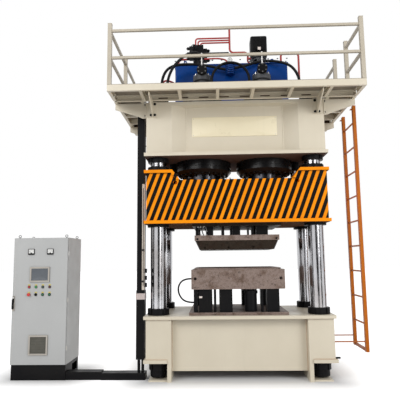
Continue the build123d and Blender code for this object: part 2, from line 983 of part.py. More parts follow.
def railing():
    """Posts with a top rail and a middle rail round the platform, open at the ladder."""
    edge_x = platform_width / 2 - post_size / 2
    edge_y = half_depth + platform_walkway - post_size / 2
    levels = (deck_level + top_rail_height, deck_level + mid_rail_height)
    posts = [post(sx * edge_x, sy * edge_y) for sx in signs for sy in signs]
    posts += [post(edge_x, ladder_gate_start), post(edge_x, ladder_gate_end), post(-edge_x, 0)]
    half = post_size / 2
    rail = rail_size / 2
    rails = []
    for level in levels:
        for sy in signs:
            rails.append(block(-edge_x + half, edge_x - half, sy * edge_y - rail,
                               sy * edge_y + rail, level - rail, level + rail))
        spans = [(-edge_x, -edge_y, 0), (-edge_x, 0, edge_y), (edge_x, -edge_y, ladder_gate_start),
                 (edge_x, ladder_gate_end, edge_y)]
        for x, start, end in spans:
            rails.append(block(x - rail, x + rail, start + half, end - half,
                               level - rail, level + rail))
    return posts, rails


def ladder():
    """A vertical ladder beside the platform, its rungs and foot bar between two flat stiles."""
    x = platform_width / 2 + ladder_gap
    half = ladder_stile_depth / 2
    y0, y1 = ladder_front, ladder_front + ladder_width
    stiles = [block(x, x + ladder_stile, y - half, y + half, ladder_bottom, ladder_top)
              for y in (y0, y1)]
    count = int((ladder_top - first_rung) // rung_pitch) + 1
    rungs = [bar_along_y(rung_diameter, x + ladder_stile / 2, y0 + half, y1 - half,
                         first_rung + number * rung_pitch) for number in range(count)]
    foot = block(x + ladder_stile / 4, x + 3 * ladder_stile / 4, y0 + half, y1 - half,
                 ladder_bottom, ladder_bottom + ladder_stile)
    return stiles + rungs + [foot]


def ladder_braces():
    """Flat braces from the ladder to the bed below and to the platform above."""
    x = platform_width / 2 + ladder_gap
    braces = []
    for y in (ladder_front, ladder_front + ladder_width):
        low = ladder_bottom + brace_level
        braces.append(block(half_width, x, y - brace_width / 2, y + brace_width / 2,
                            low, low + brace_thickness))
        braces.append(block(platform_width / 2, x, y - brace_width / 2, y + brace_width / 2,
                            ladder_top - brace_drop, ladder_top - brace_drop + brace_thickness))
    return braces


def pipe(points, diameter, bends):
    """A round pipe along straight runs and tangent bends."""
    if len(points) > 2:
        path = FilletPolyline(*points, radius=bends)
    else:
        path = Line(*points)
    start = Vector(*points[0])
    section = Plane(start, z_dir=Vector(*points[1]) - start) * Circle(diameter / 2)
    return sweep(section, path)


def hose(points, diameter):
    """A hose that lies free: every bend is as large as its two runs allow."""
    places = [Vector(*point) for point in points]
    bends = []
    for before, here, after in zip(places, places[1:], places[2:]):
        turn = radians((here - before).get_angle(after - here))
        shorter = min((here - before).length, (after - here).length)
        bends.append(bend_share * shorter / tan(turn / 2))
    print("bends", [round(bend) for bend in bends])
    return pipe(points, diameter, bends)


def tank():
    """The oil tank, with folded upright edges, on two feet astride the cylinder heads."""
    y0, y1 = half_depth - tank_depth, half_depth
    half = tank_width / 2
    body = block(-half, half, y0, y1, tank_floor, tank_top)
    body = fillet(body.edges().filter_by(Axis.Z), tank_fold)
    outer, inner = half - tank_foot_inset, half - tank_foot_inset - tank_foot_width
    feet = [block(*sorted((sx * inner, sx * outer)), y0 + tank_foot_inset, y1 - tank_foot_inset,
                  crown_top, tank_floor) for sx in signs]
    return [body] + feet


def tank_cover():
    """The lid with its overhang, and a holed lifting lug at each end."""
    y0 = half_depth - tank_depth - tank_lid_overhang
    y1 = half_depth + tank_lid_overhang
    reach = tank_width / 2 + tank_lid_overhang
    low, high = tank_top, lid_top
    lid = fillet(block(-reach, reach, y0, y1, low, high).edges().filter_by(Axis.Z), tank_fold)
    lugs = []
    for x in lugs_at:
        outline = [(x - lug_width / 2, high), (x + lug_width / 2, high),
                   (x + lug_width / 4, high + lug_height), (x - lug_width / 4, high + lug_height)]
        lug = from_front(outline, y0 + lug_inset, y0 + lug_inset + lug_plate)
        eye = bar_along_y(lug_hole, x, y0, y0 + 2 * lug_inset, high + lug_height - lug_hole)
        lugs.append(lug - eye)
    return joined([lid] + lugs)


def motor():
    """An upright servo motor: a square body with rounded corners, ribbed sides and a plain cowl."""
    low = lid_top + bell_height
    half, top = motor_width / 2, low + motor_height
    body = extrude(Pos(0, 0, low) * box_outline(motor_width, motor_width, motor_corner), motor_height)
    body = chamfer(body.edges().group_by(Axis.Z)[-1], motor_edge)
    ribs_low, ribs_high = low + motor_flange, top - motor_cowl
    pitch = (motor_width - 2 * motor_corner) / motor_fin_count
    grooves = []
    for turn in range(4):
        for number in range(motor_fin_count):
            y = (number - (motor_fin_count - 1) / 2) * pitch
            groove = block(half - motor_fin_depth, half + 1, y - motor_fin_width / 2,
                           y + motor_fin_width / 2, ribs_low, ribs_high)
            grooves.append(Rot(0, 0, turn * 90) * groove)
    box = terminal_box / 2
    socket = block(-box, box, -half - terminal_depth, -half + motor_fin_depth,
                   ribs_low + terminal_box / 2, ribs_low + terminal_box)
    return Pos(motor_x, motor_y, 0) * (body - grooves + socket)


def bell_housing():
    """The housing between the tank lid and the motor, with windows to the coupling."""
    low = lid_top
    high = low + bell_height
    outer, flange = bell_diameter / 2, motor_width / 2
    inner = outer - bell_wall
    bell = turned([(inner, low), (flange, low), (flange, low + bell_wall), (outer, low + bell_wall),
                   (outer, high - bell_wall), (flange, high - bell_wall), (flange, high),
                   (inner, high)])
    for turn in (0, 90):
        window = block(-bell_window / 2, bell_window / 2, -flange, flange,
                       low + 3 * bell_wall, high - 3 * bell_wall)
        bell = bell - Rot(0, 0, turn + 45) * window
    return Pos(motor_x, motor_y, 0) * bell


def prefill_valve(x):
    """A prefill valve on a cylinder's head: neck, wide flange, cone, and a cap that faces the front."""
    low = cylinder_top + cylinder_head
    neck, flange = prefill_neck / 2, prefill_flange / 2
    flange_low = low + prefill_neck_height
    flange_high = flange_low + prefill_flange_height
    cone_high = flange_high + prefill_cone_height
    level = flange_high + prefill_cap_rise
    foot, edge = prefill_foot, prefill_edge
    body = turned([(0, low), (neck + foot, low), (neck + foot, low + foot), (neck, low + foot),
                   (neck, flange_low - edge), (flange - edge, flange_low), (flange, flange_low + edge),
                   (flange, flange_high - edge), (flange - edge, flange_high), (neck, flange_high),
                   (prefill_cone_top, cone_high - edge), (prefill_cone_top - edge, cone_high),
                   (0, cone_high)], x)
    arm = bar_along_y(prefill_arm, x, -prefill_cap_start, 0, level)
    head = bar_along_y(prefill_cap, x, -prefill_cap_end, -prefill_cap_start, level)
    head = chamfer(head.edges(), edge)
    body = body + arm
    return body, head - body


def return_filter():
    """A filter bowl on the tank's front, with cooling fins and a gauge above."""
    low = tank_top - filter_drop
    radius, fin = filter_diameter / 2, filter_fin / 2
    step = filter_height / filter_fins
    profile = [(0, low)]
    for number in range(filter_fins):
        z = low + number * step
        profile += [(fin, z), (fin, z + step / 2), (radius, z + step / 2), (radius, z + step)]
    profile.append((0, low + filter_height))
    bowl = turned(profile, filter_x, filter_y)
    tank_face = half_depth - tank_depth
    arm = block(filter_x - filter_arm / 2, filter_x + filter_arm / 2, filter_y, tank_face,
                low + step, low + filter_height - step)
    return bowl + arm


def gauge():
    """A round gauge on a short stem, its dial to the front."""
    low = tank_top - filter_drop + filter_height
    stem = upright(gauge_stem_diameter, low, low + gauge_stem, filter_x, filter_y)
    level = low + gauge_stem + gauge_diameter / 2 - gauge_dish
    face = filter_y - gauge_depth / 2
    case = bar_along_y(gauge_diameter, filter_x, face, face + gauge_depth, level)
    dish = bar_along_y(gauge_diameter - 2 * gauge_rim, filter_x, face - 1, face + gauge_dish, level)
    return stem + case - dish


def valve_manifold():
    """The drilled valve block on its stand."""
    foot = lid_top
    low = foot + manifold_stand
    half = manifold_width / 2
    body = block(manifold_x - half, manifold_x + half, manifold_y - manifold_depth / 2,
                 manifold_y + manifold_depth / 2, low, low + manifold_height)
    body = chamfer(body.edges(), 4)
    leg = manifold_leg
    legs = [block(manifold_x + sx * (half - leg) - leg / 2, manifold_x + sx * (half - leg) + leg / 2,
                  manifold_y - manifold_depth / 2 + leg / 4, manifold_y + manifold_depth / 2 - leg / 4,
                  foot, low) for sx in signs]
    return joined([body] + legs)


def valves():
    """Solenoid valves on both sides of the block: a square body, a round coil and an end nut."""
    low = lid_top + manifold_stand
    pitch = manifold_height / valve_count
    pieces = []
    for sx in signs:
        for number in range(valve_count):
            z = low + (number + 0.5) * pitch
            face = manifold_x + sx * manifold_width / 2
            body_end = face + sx * valve_size
            coil_end = body_end + sx * valve_coil
            y = manifold_y - manifold_depth / 4
            if sx > 0:
                y = manifold_y + manifold_depth / 4
            body = block(*sorted((face, body_end)), y - valve_size / 2, y + valve_size / 2,
                         z - valve_size / 2, z + valve_size / 2)
            coil = bar_along_x(valve_coil_diameter, *sorted((body_end, coil_end)), y, z)
            nut = bar_along_x(valve_size / 3, *sorted((coil_end, coil_end + sx * valve_nut)), y, z)
            pieces.append(joined([body, coil, nut]))
    return pieces


def handwheel(level):
    """A small valve handwheel, its rim joined to the hub by spokes, on a stem."""
    face = manifold_y - manifold_depth / 2
    rim = Pos(0, 0, wheel_reach) * Torus(wheel_diameter / 2 - wheel_rim / 2, wheel_rim / 2)
    hub = Pos(0, 0, wheel_reach) * Cylinder(wheel_hub / 2, wheel_hub_height)
    spoke = Pos(wheel_diameter / 4 - 1, 0, wheel_reach) * Box(wheel_diameter / 2 - wheel_rim - 1,
                                                             wheel_spoke_width, wheel_spoke_height)
    spokes = [Rot(0, 0, number * 360 / wheel_spokes) * spoke for number in range(wheel_spokes)]
    stem = Pos(0, 0, (wheel_reach + wheel_gap) / 2) * Cylinder(wheel_stem / 2,
                                                               wheel_reach - wheel_gap)
    wheel = joined([rim, hub, stem] + spokes)
    return Pos(manifold_x + wheel_offset, face, level) * Rot(90, 0, 0) * wheel


def pressure_pipes():
    """Red pressure pipes: the riser, its run to the pump, and the feeds from the valve block."""
    lid = lid_top
    block_high = lid + manifold_stand + manifold_height
    y = manifold_y - riser_pipe_setback
    top = block_high + riser_pipe_setback + feed_pipe
    pieces = [pipe([(riser_pipe_x, y, top + riser_pipe_reach), (riser_pipe_x, y, pump_pipe_level),
                    (pump_pipe_x, y, pump_pipe_level), (pump_pipe_x, motor_y, lid + bell_height / 2),
                    (motor_x - bell_diameter / 2, motor_y, lid + bell_height / 2)],
                   pressure_pipe, [pipe_bend, pipe_bend, pipe_bend])]
    for number in range(3):
        x = manifold_x + (number - 1) * feed_pipe_pitch
        z = top + (1 - number) * feed_pipe_pitch
        pieces.append(pipe([(x, y, block_high), (x, y, z), (riser_pipe_x - pressure_pipe / 2, y, z)],
                           feed_pipe, [feed_pipe_bend]))
    return pieces


def side_pipes():
    """The arch over the crown, the pipe down the tank's right side and one at its left."""
    lid = lid_top
    head = cylinder_top + cylinder_head
    arch = [(arch_left, arch_y, head), (arch_left, arch_y, arch_top),
            (arch_left + arch_width, arch_y, arch_top), (arch_left + arch_width, arch_y, head)]
    down = [(down_pipe_start, down_pipe_y, lid), (down_pipe_start, down_pipe_y, lid + down_pipe_rise),
            (down_pipe_end, down_pipe_y, lid + down_pipe_rise), (down_pipe_end, down_pipe_y, crown_top)]
    left_x = manifold_x - manifold_width / 2
    y = manifold_y + manifold_depth / 4
    level = lid + manifold_stand + left_pipe_level
    left = [(left_pipe_x, y, lid), (left_pipe_x, y, level), (left_x, y, level)]
    arch_pipe = pipe(arch, return_pipe, [arch_width / 2 - 2] * 2)
    down_pipe = pipe(down, pressure_pipe, [pipe_bend] * 2)
    left_pipe = pipe(left, pressure_pipe, [pipe_bend])
    return arch_pipe, down_pipe, left_pipe


def drain_pipe():
    """The dark pipe from the valve block to the riser."""
    lid = lid_top
    y = manifold_y - riser_pipe_setback
    return bar_along_x(drain_pipe_diameter, manifold_x + manifold_width / 2,
                       riser_pipe_x - pressure_pipe / 2, y, lid + manifold_stand + drain_level)


def hose_socket(x, y, z):
    """A threaded socket on the crown that a hose is screwed on."""
    return upright(socket_diameter, z, z + socket_height, x, y)


def cable_trunk():
    """The upright cable trunk: a covered channel, wider at its foot."""
    half, deep = trunk_width / 2, trunk_depth / 2
    upper = block(trunk_x - half, trunk_x + half, trunk_y - deep, trunk_y + deep,
                  trunk_foot_top, trunk_top)
    half_foot = trunk_foot_width / 2
    foot_deep = deep + (trunk_foot_width - trunk_width) / 2
    foot = block(trunk_x - half_foot, trunk_x + half_foot, trunk_y - foot_deep,
                 trunk_y + foot_deep, trunk_bottom, trunk_foot_top)
    groove = trunk_wall
    seams = [block(trunk_x - half + trunk_seam, trunk_x - half + trunk_seam + groove,
                   trunk_y - deep - 1, trunk_y - deep + groove, trunk_foot_top, trunk_top)]
    arms = [block(start, -half_width, trunk_y - trunk_arm / 2, trunk_y + trunk_arm / 2,
                  level, level + trunk_arm_plate)
            for start, level in ((trunk_x + half_foot, bed_height - trunk_arm_inset),
                                 (trunk_x + half, crown_bottom + trunk_arm_inset))]
    return joined([upper, foot] + arms) - seams


def trunk_band():
    """The pale band where two lengths of trunk meet."""
    outer = trunk_foot_width / 2
    deep = trunk_depth / 2 + (trunk_foot_width - trunk_width) / 2
    proud = trunk_band_proud
    low, high = trunk_band_bottom, trunk_band_bottom + trunk_band_height
    sleeve = block(trunk_x - outer - proud, trunk_x + outer + proud, trunk_y - deep - proud,
                   trunk_y + deep + proud, low, high)
    return sleeve - block(trunk_x - outer, trunk_x + outer, trunk_y - deep, trunk_y + deep,
                          low - 1, high + 1)


def floor_duct():
    """Two lengths of covered floor duct from the cabinet to the trunk."""
    half = duct_depth / 2
    first = block(cabinet_right, duct_split, duct_y - half, duct_y + half, 0, duct_height)
    lower = duct_height - duct_step
    second = block(duct_split, duct_end, duct_y - half - duct_step, duct_y + half - duct_step,
                   0, lower)
    lips = []
    for x0, x1, y, high in ((cabinet_right, duct_split, duct_y, duct_height),
                            (duct_split, duct_end, duct_y - duct_step, lower)):
        for side in signs:
            ys = sorted((y + side * half, y + side * (half + duct_wall)))
            lips.append(block(x0, x1, *ys, high - duct_lip, high))
    return [joined([first, second] + lips)]


def conduits():
    """Conduits from the trunk's foot into the floor duct."""
    low = duct_height - duct_step
    return [upright(conduit_diameter, low, trunk_bottom, trunk_x + offset, trunk_y)
            for offset in (-conduit_spread, conduit_spread)]


def guide_strip():
    """The upright strip beside the slide that carries its switch cams."""
    half = strip_width / 2
    strip = block(strip_x - half, strip_x + half, strip_y - strip_thickness / 2,
                  strip_y + strip_thickness / 2, strip_bottom, strip_top)
    slot = block(strip_x - strip_slot / 2, strip_x + strip_slot / 2, strip_y - strip_thickness,
                 strip_y + strip_thickness, strip_bottom + strip_slot_inset,
                 strip_top - strip_slot_inset)
    arms = [block(strip_x - strip_arm / 2, strip_x + strip_arm / 2,
                  strip_y + strip_thickness / 2, trunk_y - trunk_depth / 2, level,
                  level + strip_arm)
            for level in (strip_bottom + strip_arm, strip_top - 2 * strip_arm)]
    return joined([strip] + arms) - slot


def strip_cams():
    """Knobs clamped on the guide strip."""
    face = strip_y - strip_thickness / 2
    return [bar_along_y(cam_diameter, strip_x, face - cam_height, face, level)
            for level in (strip_bottom + first_cam_rise, strip_bottom + second_cam_rise)]


def limit_switches():
    """Limit switches on a rail beside the guide strip."""
    rail_x = strip_x + strip_width / 2
    pieces = []
    for number in range(switch_count):
        z = strip_bottom + switch_rise + number * switch_pitch
        body = block(rail_x, rail_x + switch_size, strip_y - switch_size / 2,
                     strip_y + switch_size / 2, z, z + switch_height)
        roller = bar_along_y(roller_diameter, rail_x + switch_size / 2,
                             strip_y - switch_size / 2 - roller_reach,
                             strip_y - switch_size / 2, z + switch_height - roller_reach)
        pieces.append(body + roller)
    return pieces


def bed_stub():
    """The short pipe stub on the bed's right side."""
    return bar_along_x(stub_diameter, half_width, plate_half_width + stub_length,
                       front + stub_setback,
                       corner_notch_height + shelf_plate + stub_diameter / 2 + bore_clearance)


def cabinet_shell():
    """The folded cabinet body: open at the front, with a turned-in frame about its mouth."""
    x0, x1 = cabinet_left, cabinet_right
    y0, y1 = cabinet_front, cabinet_front + cabinet_depth
    z0, z1 = cabinet_floor, cabinet_top
    wall, lip = cabinet_wall, door_reveal
    body = block(x0, x1, y0, y1, z0, z1)
    room = block(x0 + wall, x1 - wall, y0 + wall, y1 - wall, z0 + wall, z1 - wall)
    mouth = block(x0 + lip, x1 - lip, y0 - 1, y0 + wall + 1, z0 + lip, z1 - lip)
    return body - room - mouth


def mounting_plate():
    """The flanged plate at the back of the cabinet."""
    inset = plate_inset
    y1 = cabinet_front + cabinet_depth - cabinet_wall
    plate = block(cabinet_left + inset, cabinet_right - inset, y1 - plate_offset - 3,
                  y1 - plate_offset, cabinet_floor + inset, cabinet_top - inset)
    posts = []
    for x in (cabinet_left + 2 * inset, cabinet_right - 2 * inset):
        for z in (cabinet_floor + 2 * inset, cabinet_top - 2 * inset):
            posts.append(bar_along_y(plate_post, x, y1 - plate_offset, y1, z))
    return joined([plate] + posts)


def cabinet_base():
    """The plinth: a folded black ring under the cabinet, open at its right rear for cables."""
    inset = plinth_setback
    x0, x1 = cabinet_left + inset, cabinet_right - inset
    y0, y1 = cabinet_front + inset, cabinet_front + cabinet_depth - inset
    wall = plinth_wall
    ring = block(x0, x1, y0, y1, 0, cabinet_floor)
    ring = ring - block(x0 + wall, x1 - wall, y0 + wall, y1 - wall, -1, cabinet_floor + 1)
    low = plinth_window_low
    window = block(x1 - wall - 1, x1 + 1, (y0 + y1) / 2, y1 - base_window_inset, low, cabinet_floor - low)
    return ring - window


def cabinet_door():
    """The door: a folded tray with a rounded front edge."""
    x0, x1 = cabinet_left + door_gap, cabinet_right - door_gap
    y0, y1 = door_front, door_front + door_thickness
    z0, z1 = cabinet_floor + door_gap, cabinet_top - door_gap
    skin = door_skin
    tray = fillet(block(x0, x1, y0, y1, z0, z1).edges().group_by(Axis.Y)[0], 2)
    room = block(x0 + skin, x1 - skin, y0 + skin, y1 + 1, z0 + skin, z1 - skin)
    rails = [block(x, x + door_rail, y0 + skin, y1 - 4, z0 + skin, z1 - skin)
             for x in (x0 + door_rail_inset, x1 - door_rail_inset - door_rail)]
    return joined([tray - room] + rails)


def door_axis():
    """Where the door's hinge line stands."""
    return cabinet_right + hinge_leaf, door_front + door_thickness / 2


def cabinet_hinges():
    """Three hinge knuckles on leaves along the cabinet's right side."""
    x, y = door_axis()
    pieces = []
    for level in hinge_levels:
        low = cabinet_floor + level
        knuckle = upright(hinge_diameter, low, low + hinge_length, x, y)
        leaf = block(cabinet_right, cabinet_right + hinge_leaf, y, cabinet_front + hinge_lap, low,
                     low + hinge_length)
        pieces.append(knuckle + leaf)
    return pieces


def lifting_eyes():
    """Four eyebolts on the cabinet's roof."""
    eyes = []
    for x in (cabinet_left + eye_inset, cabinet_right - eye_inset):
        for y in (cabinet_front + eye_inset, cabinet_front + cabinet_depth - eye_inset):
            loop = Pos(x, y, cabinet_top + cabinet_eye) * Rot(90, 0, 0) * Torus(
                cabinet_eye / 2 + cabinet_eye_wire / 2, cabinet_eye_wire / 2)
            shank = upright(cabinet_eye_shank, cabinet_top, cabinet_top + cabinet_eye / 2 + 2, x, y)
            eyes.append(loop + shank)
    return eyes


def panel_piece(x, z, width, height, depth):
    """A rounded housing on the cabinet door."""
    outline = Plane(Vector(x, door_front, z), x_dir=(1, 0, 0), z_dir=(0, -1, 0)) * (
        RectangleRounded(width, height, 4))
    return extrude(outline, depth)


def meters():
    """Two panel meters with sunk dials."""
    pieces = []
    for offset in meter_offsets:
        x = cabinet_left + offset
        case = panel_piece(x, meter_level, meter_width, meter_height, meter_depth)
        dial = block(x - meter_width / 2 + meter_rim, x + meter_width / 2 - meter_rim,
                     door_front - meter_depth - 1,
                     door_front - meter_depth + 3, meter_level - meter_height / 2 + meter_skirt,
                     meter_level + meter_height / 2 - meter_rim)
        pieces.append(case - dial)
    return pieces


def display():
    """The operator display, its screen set back in a bezel."""
    x = cabinet_left + display_offset
    case = panel_piece(x, display_level, display_width, display_height, display_depth)
    screen = block(x - display_width / 2 + display_bezel, x + display_width / 2 - display_bezel,
                   door_front - display_depth - 1, door_front - display_depth + 2,
                   display_level - display_height / 2 + display_bezel,
                   display_level + display_height / 2 - display_bezel)
    return case - screen


def control_x(number):
    """Where one column of lamps and controls stands."""
    return cabinet_left + control_start + number * control_pitch


def lamps():
    """Four domed pilot lamps in collars."""
    pieces = []
    for number in range(4):
        x = control_x(number)
        collar = bar_along_y(control_ring, x, door_front - control_ring_depth, door_front, lamp_level)
        dome = bar_along_y(lamp_diameter, x, door_front - lamp_depth, door_front, lamp_level)
        dome = fillet(dome.edges().group_by(Axis.Y)[0], lamp_round)
        pieces.append(collar + dome)
    return pieces


def control_collars():
    """Fixed collars that guide the buttons and the selector."""
    pieces = []
    for number in range(4):
        x = control_x(number)
        collar = bar_along_y(control_ring, x, door_front - collar_reach, door_front, button_level)
        bore = bar_along_y(button_diameter + 2 * running_clearance, x, door_front - collar_reach - 1,
                           door_front - button_floor, button_level)
        pieces.append(collar - bore)
    return pieces


def push_button(number):
    """A button that stands out of its collar by its travel."""
    x = control_x(number)
    back = door_front - button_floor - button_travel
    cap = bar_along_y(button_diameter, x, door_front - collar_reach - button_stand, back,
                      button_level)
    return chamfer(cap.edges().group_by(Axis.Y)[0], button_edge)


def mushroom_button(number):
    """The wide stop button on its stem."""
    x = control_x(number)
    back = door_front - button_floor - button_travel
    head_back = door_front - collar_reach - button_travel - 1
    stem = bar_along_y(button_diameter, x, head_back, back, button_level)
    head = bar_along_y(mushroom_diameter, x, head_back - mushroom_height, head_back, button_level)
    head = fillet(head.edges().group_by(Axis.Y)[0], mushroom_height * mushroom_round)
    return stem + head


def selector(number):
    """The selector knob with its raised grip."""
    x = control_x(number)
    back = door_front - button_floor - button_travel
    face = door_front - collar_reach - 3
    base = bar_along_y(button_diameter, x, face, back, button_level)
    grip = block(x - grip_width / 2, x + grip_width / 2, face - grip_height, face,
                 button_level - button_diameter / 2 + 1,
                 button_level + button_diameter / 2 - 1)
    return base + grip


def vent():
    """The filter grille: slanted slats in a frame."""
    x = cabinet_left + vent_offset
    case = panel_piece(x, vent_level, vent_width, vent_height, vent_depth)
    inner_w, inner_h = vent_width - 2 * vent_border, vent_height - 2 * vent_border
    y0 = door_front - vent_depth
    case = case - block(x - inner_w / 2, x + inner_w / 2, y0 - 1, door_front - 3,
                        vent_level - inner_h / 2, vent_level + inner_h / 2)
    pitch = inner_h / vent_slats
    slats = []
    for number in range(vent_slats):
        z = vent_level - inner_h / 2 + (number + slat_start) * pitch
        outline = [(y0 + 1, z), (y0 + 3, z), (door_front - 1, z + pitch * slat_rise),
                   (door_front - 4, z + pitch * slat_rise)]
        slats.append(from_side(outline, x - inner_w / 2 - 1, x + inner_w / 2 + 1))
    return joined([case] + slats)


def handle_seat():
    """The grey escutcheon of the door handle."""
    x = cabinet_left + handle_offset
    return panel_piece(x, handle_level + handle_length / 4, handle_width, handle_length / 2,
                       handle_seat_depth)


def door_handle():
    """The black lever that hangs from the escutcheon's pivot."""
    x = cabinet_left + handle_offset
    y0 = door_front - handle_seat_depth
    pivot = handle_level + handle_length / 4
    half = handle_width / 2 - 4
    hub = bar_along_y(handle_hub, x, y0 - handle_lever, y0 - handle_clear, pivot)
    lever = block(x - half, x + half, y0 - handle_lever, y0 - handle_clear - 2,
                  pivot - handle_length * lever_share, pivot)
    lever = fillet(lever.edges().filter_by(Axis.Y).group_by(Axis.Z)[0], half * lever_round)
    return hub + lever


# Hose routes, with their points chosen by hand
left_hose = [(-1140, -170, 4060), (-1140, -170, 4400), (-1120, -150, 4610), (-1035, -110, 4770),
             (-880, -60, 4846), (-680, -15, 4868), (-470, 25, 4868), (-260, 60, 4832),
             (-96, 75, 4800)]
left_inner_hose = [(-1050, -230, 4060), (-1050, -230, 4360), (-1010, -240, 4600),
                   (-900, -190, 4820), (-690, -150, 5010),
                   (-510, 50, 5092), (-510, 260, 5092)]
right_hose = [(1085, -155, 4060), (1085, -155, 4370), (1060, -120, 4600), (965, -45, 4790),
              (800, 45, 4900), (600, 95, 4945), (400, 105, 4925), (200, 85, 4850), (56, 75, 4825)]
tool_hose = [(-665, -430, 1396), (-775, -430, 1396), (-862, -440, 1310), (-862, -450, 1180),
             (-765, -465, 1060), (-634, -465, 1060)]

save("bed", bed_weldment())
save("columns", [column(x, y) for x, y in columns_at])
save("crown", crown_weldment())
save("column_nuts", [round_nut(diameter, low, height, x, y) for diameter, low, height in
                     ((lower_nut_diameter, corner_notch_height - lower_nut_height, lower_nut_height),
                      (nut_diameter, bed_height, nut_height),
                      (nut_diameter, crown_bottom - crown_nut_height, crown_nut_height),
                      (nut_diameter, crown_top, nut_height))
                     for x, y in columns_at])
save("main_cylinders", [main_cylinder(x) for x in cylinders_at])
save("return_cylinders", [return_cylinder(x) for x in returns_at])

save("slide", slide_weldment())
save("rams", [ram(x) for x in cylinders_at])
save("return_rods", [return_rod(x) for x in returns_at])
save("slide_glands", [guide_gland(slide_shoulder, upper_gland_height, x, y) for x, y in columns_at]
     + [guide_gland(slide_bottom - lower_gland_height, lower_gland_height, x, y)
        for x, y in columns_at])
save("clamp_plate", [clamp_plate_piece()])
save("punch_spacers", spacer_blocks())
save("punch_plate", [block(-punch_plate_width / 2, punch_plate_width / 2, -punch_plate_depth / 2,
                           punch_plate_depth / 2, punch_plate_bottom, punch_plate_top)])
save("punch", [punch_piece()])

save("die_base", [die_base()])
save("die_risers", risers())
save("ejectors", ejector_cylinders() + ejector_rods())
save("die_block", [die_block()])

save("platform_frame", platform_frame())
save("deck_plates", deck_plates())
brackets = [side_bracket(sx, sy * side_bracket_y) for sx in signs for sy in signs]
brackets += [end_bracket(sx, sy) for sx in signs for sy in signs]
save("platform_brackets", [piece for bracket in brackets for piece in bracket])
save("bracket_bolts", bracket_bolts())
posts, rails = railing()
save("railing", posts + rails)
save("ladder", ladder() + ladder_braces())

save("tank", tank())
save("tank_lid", [tank_cover()])
save("motor", [motor()])
save("bell_housing", [bell_housing()])
prefill = [prefill_valve(x) for x in cylinders_at]
save("prefill_valves", [body for body, head in prefill])
save("prefill_caps", [head for body, head in prefill])
save("oil_filter", [return_filter()])
save("gauge", [gauge()])
save("valve_manifold", [valve_manifold()])
save("valves", valves())
wheel_low = lid_top + manifold_stand
save("lower_handwheel", [handwheel(wheel_low + manifold_height * lower_wheel_share)])
save("upper_handwheel", [handwheel(wheel_low + manifold_height * upper_wheel_share)])
arch_pipe, down_pipe, left_pipe = side_pipes()
save("pressure_pipes", pressure_pipes() + [down_pipe, left_pipe])
save("arch_pipe", [arch_pipe])
save("hose_fittings", [drain_pipe()] + [hose_socket(route[0][0], route[0][1], crown_top)
                                        for route in (left_hose, left_inner_hose, right_hose)])
save("left_hose", [hose(left_hose, hose_diameter) - return_filter()])
save("left_inner_hose", [hose(left_inner_hose, hose_diameter) - valve_manifold()])
save("right_hose", [hose(right_hose, hose_diameter) - return_filter()])
save("tool_hose", [hose(tool_hose, tool_hose_diameter)])

save("cable_trunk", [cable_trunk()])
save("trunk_band", [trunk_band()])
save("floor_duct", floor_duct() + conduits())
save("guide_strip", [guide_strip()])
save("strip_fittings", strip_cams() + limit_switches() + [bed_stub()])

save("cabinet_shell", [cabinet_shell(), mounting_plate()])
save("cabinet_base", [cabinet_base()])
save("cabinet_hinges", cabinet_hinges())
save("lifting_eyes", lifting_eyes())
save("cabinet_door", [cabinet_door()])
save("door_panel", meters() + [display()] + lamps() + control_collars() + [handle_seat()])
save("vent", [vent()])
save("door_handle", [door_handle()])
save("stop_button", [mushroom_button(0)])
save("selector_knob", [selector(1)])
save("start_button", [push_button(2)])
save("reset_button", [push_button(3)])
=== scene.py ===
import math

import bmesh
import bpy
import numpy as np
from mathutils import Matrix, Vector


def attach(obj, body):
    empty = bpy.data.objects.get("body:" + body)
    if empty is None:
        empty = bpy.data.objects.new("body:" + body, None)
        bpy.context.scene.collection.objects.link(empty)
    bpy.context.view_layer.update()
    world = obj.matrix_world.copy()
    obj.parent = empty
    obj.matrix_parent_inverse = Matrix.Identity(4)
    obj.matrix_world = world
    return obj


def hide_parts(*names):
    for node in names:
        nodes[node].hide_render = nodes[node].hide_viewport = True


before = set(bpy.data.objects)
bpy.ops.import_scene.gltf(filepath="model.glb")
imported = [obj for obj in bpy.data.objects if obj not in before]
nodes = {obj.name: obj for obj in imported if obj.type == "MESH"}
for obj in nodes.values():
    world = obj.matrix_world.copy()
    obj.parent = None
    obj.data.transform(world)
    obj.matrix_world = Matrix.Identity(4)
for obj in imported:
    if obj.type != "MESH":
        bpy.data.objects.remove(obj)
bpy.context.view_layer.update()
mm = 0.001  # only the hose routes are in millimetres, all else is in metres
bothSides = (-1, 1)


# A new material with its node tree and its shader.
def newMaterial(name):
    material = bpy.data.materials.new(name)
    material.use_nodes = True
    tree = material.node_tree
    return material, tree, tree.nodes["Principled BSDF"]


# Object coordinates in metres, stretched by scale.
def objectPoint(tree, scale=(1, 1, 1)):
    coords = tree.nodes.new("ShaderNodeTexCoord")
    mapping = tree.nodes.new("ShaderNodeMapping")
    mapping.inputs["Scale"].default_value = scale
    tree.links.new(coords.outputs["Object"], mapping.inputs["Vector"])
    return mapping.outputs["Vector"]


# Cloudy noise between 0 and 1.
def noise(tree, point, scale, detail=4.0, roughness=0.55):
    node = tree.nodes.new("ShaderNodeTexNoise")
    node.inputs["Scale"].default_value = scale
    node.inputs["Detail"].default_value = detail
    node.inputs["Roughness"].default_value = roughness
    tree.links.new(point, node.inputs["Vector"])
    return node.outputs["Fac"]


# Carries value from the span low..high to outLow..outHigh, and stops at both ends.
def spread(tree, value, low, high, outLow=0.0, outHigh=1.0):
    node = tree.nodes.new("ShaderNodeMapRange")
    for socket, number in (("From Min", low), ("From Max", high), ("To Min", outLow), ("To Max", outHigh)):
        node.inputs[socket].default_value = number
    tree.links.new(value, node.inputs["Value"])
    return node.outputs["Result"]


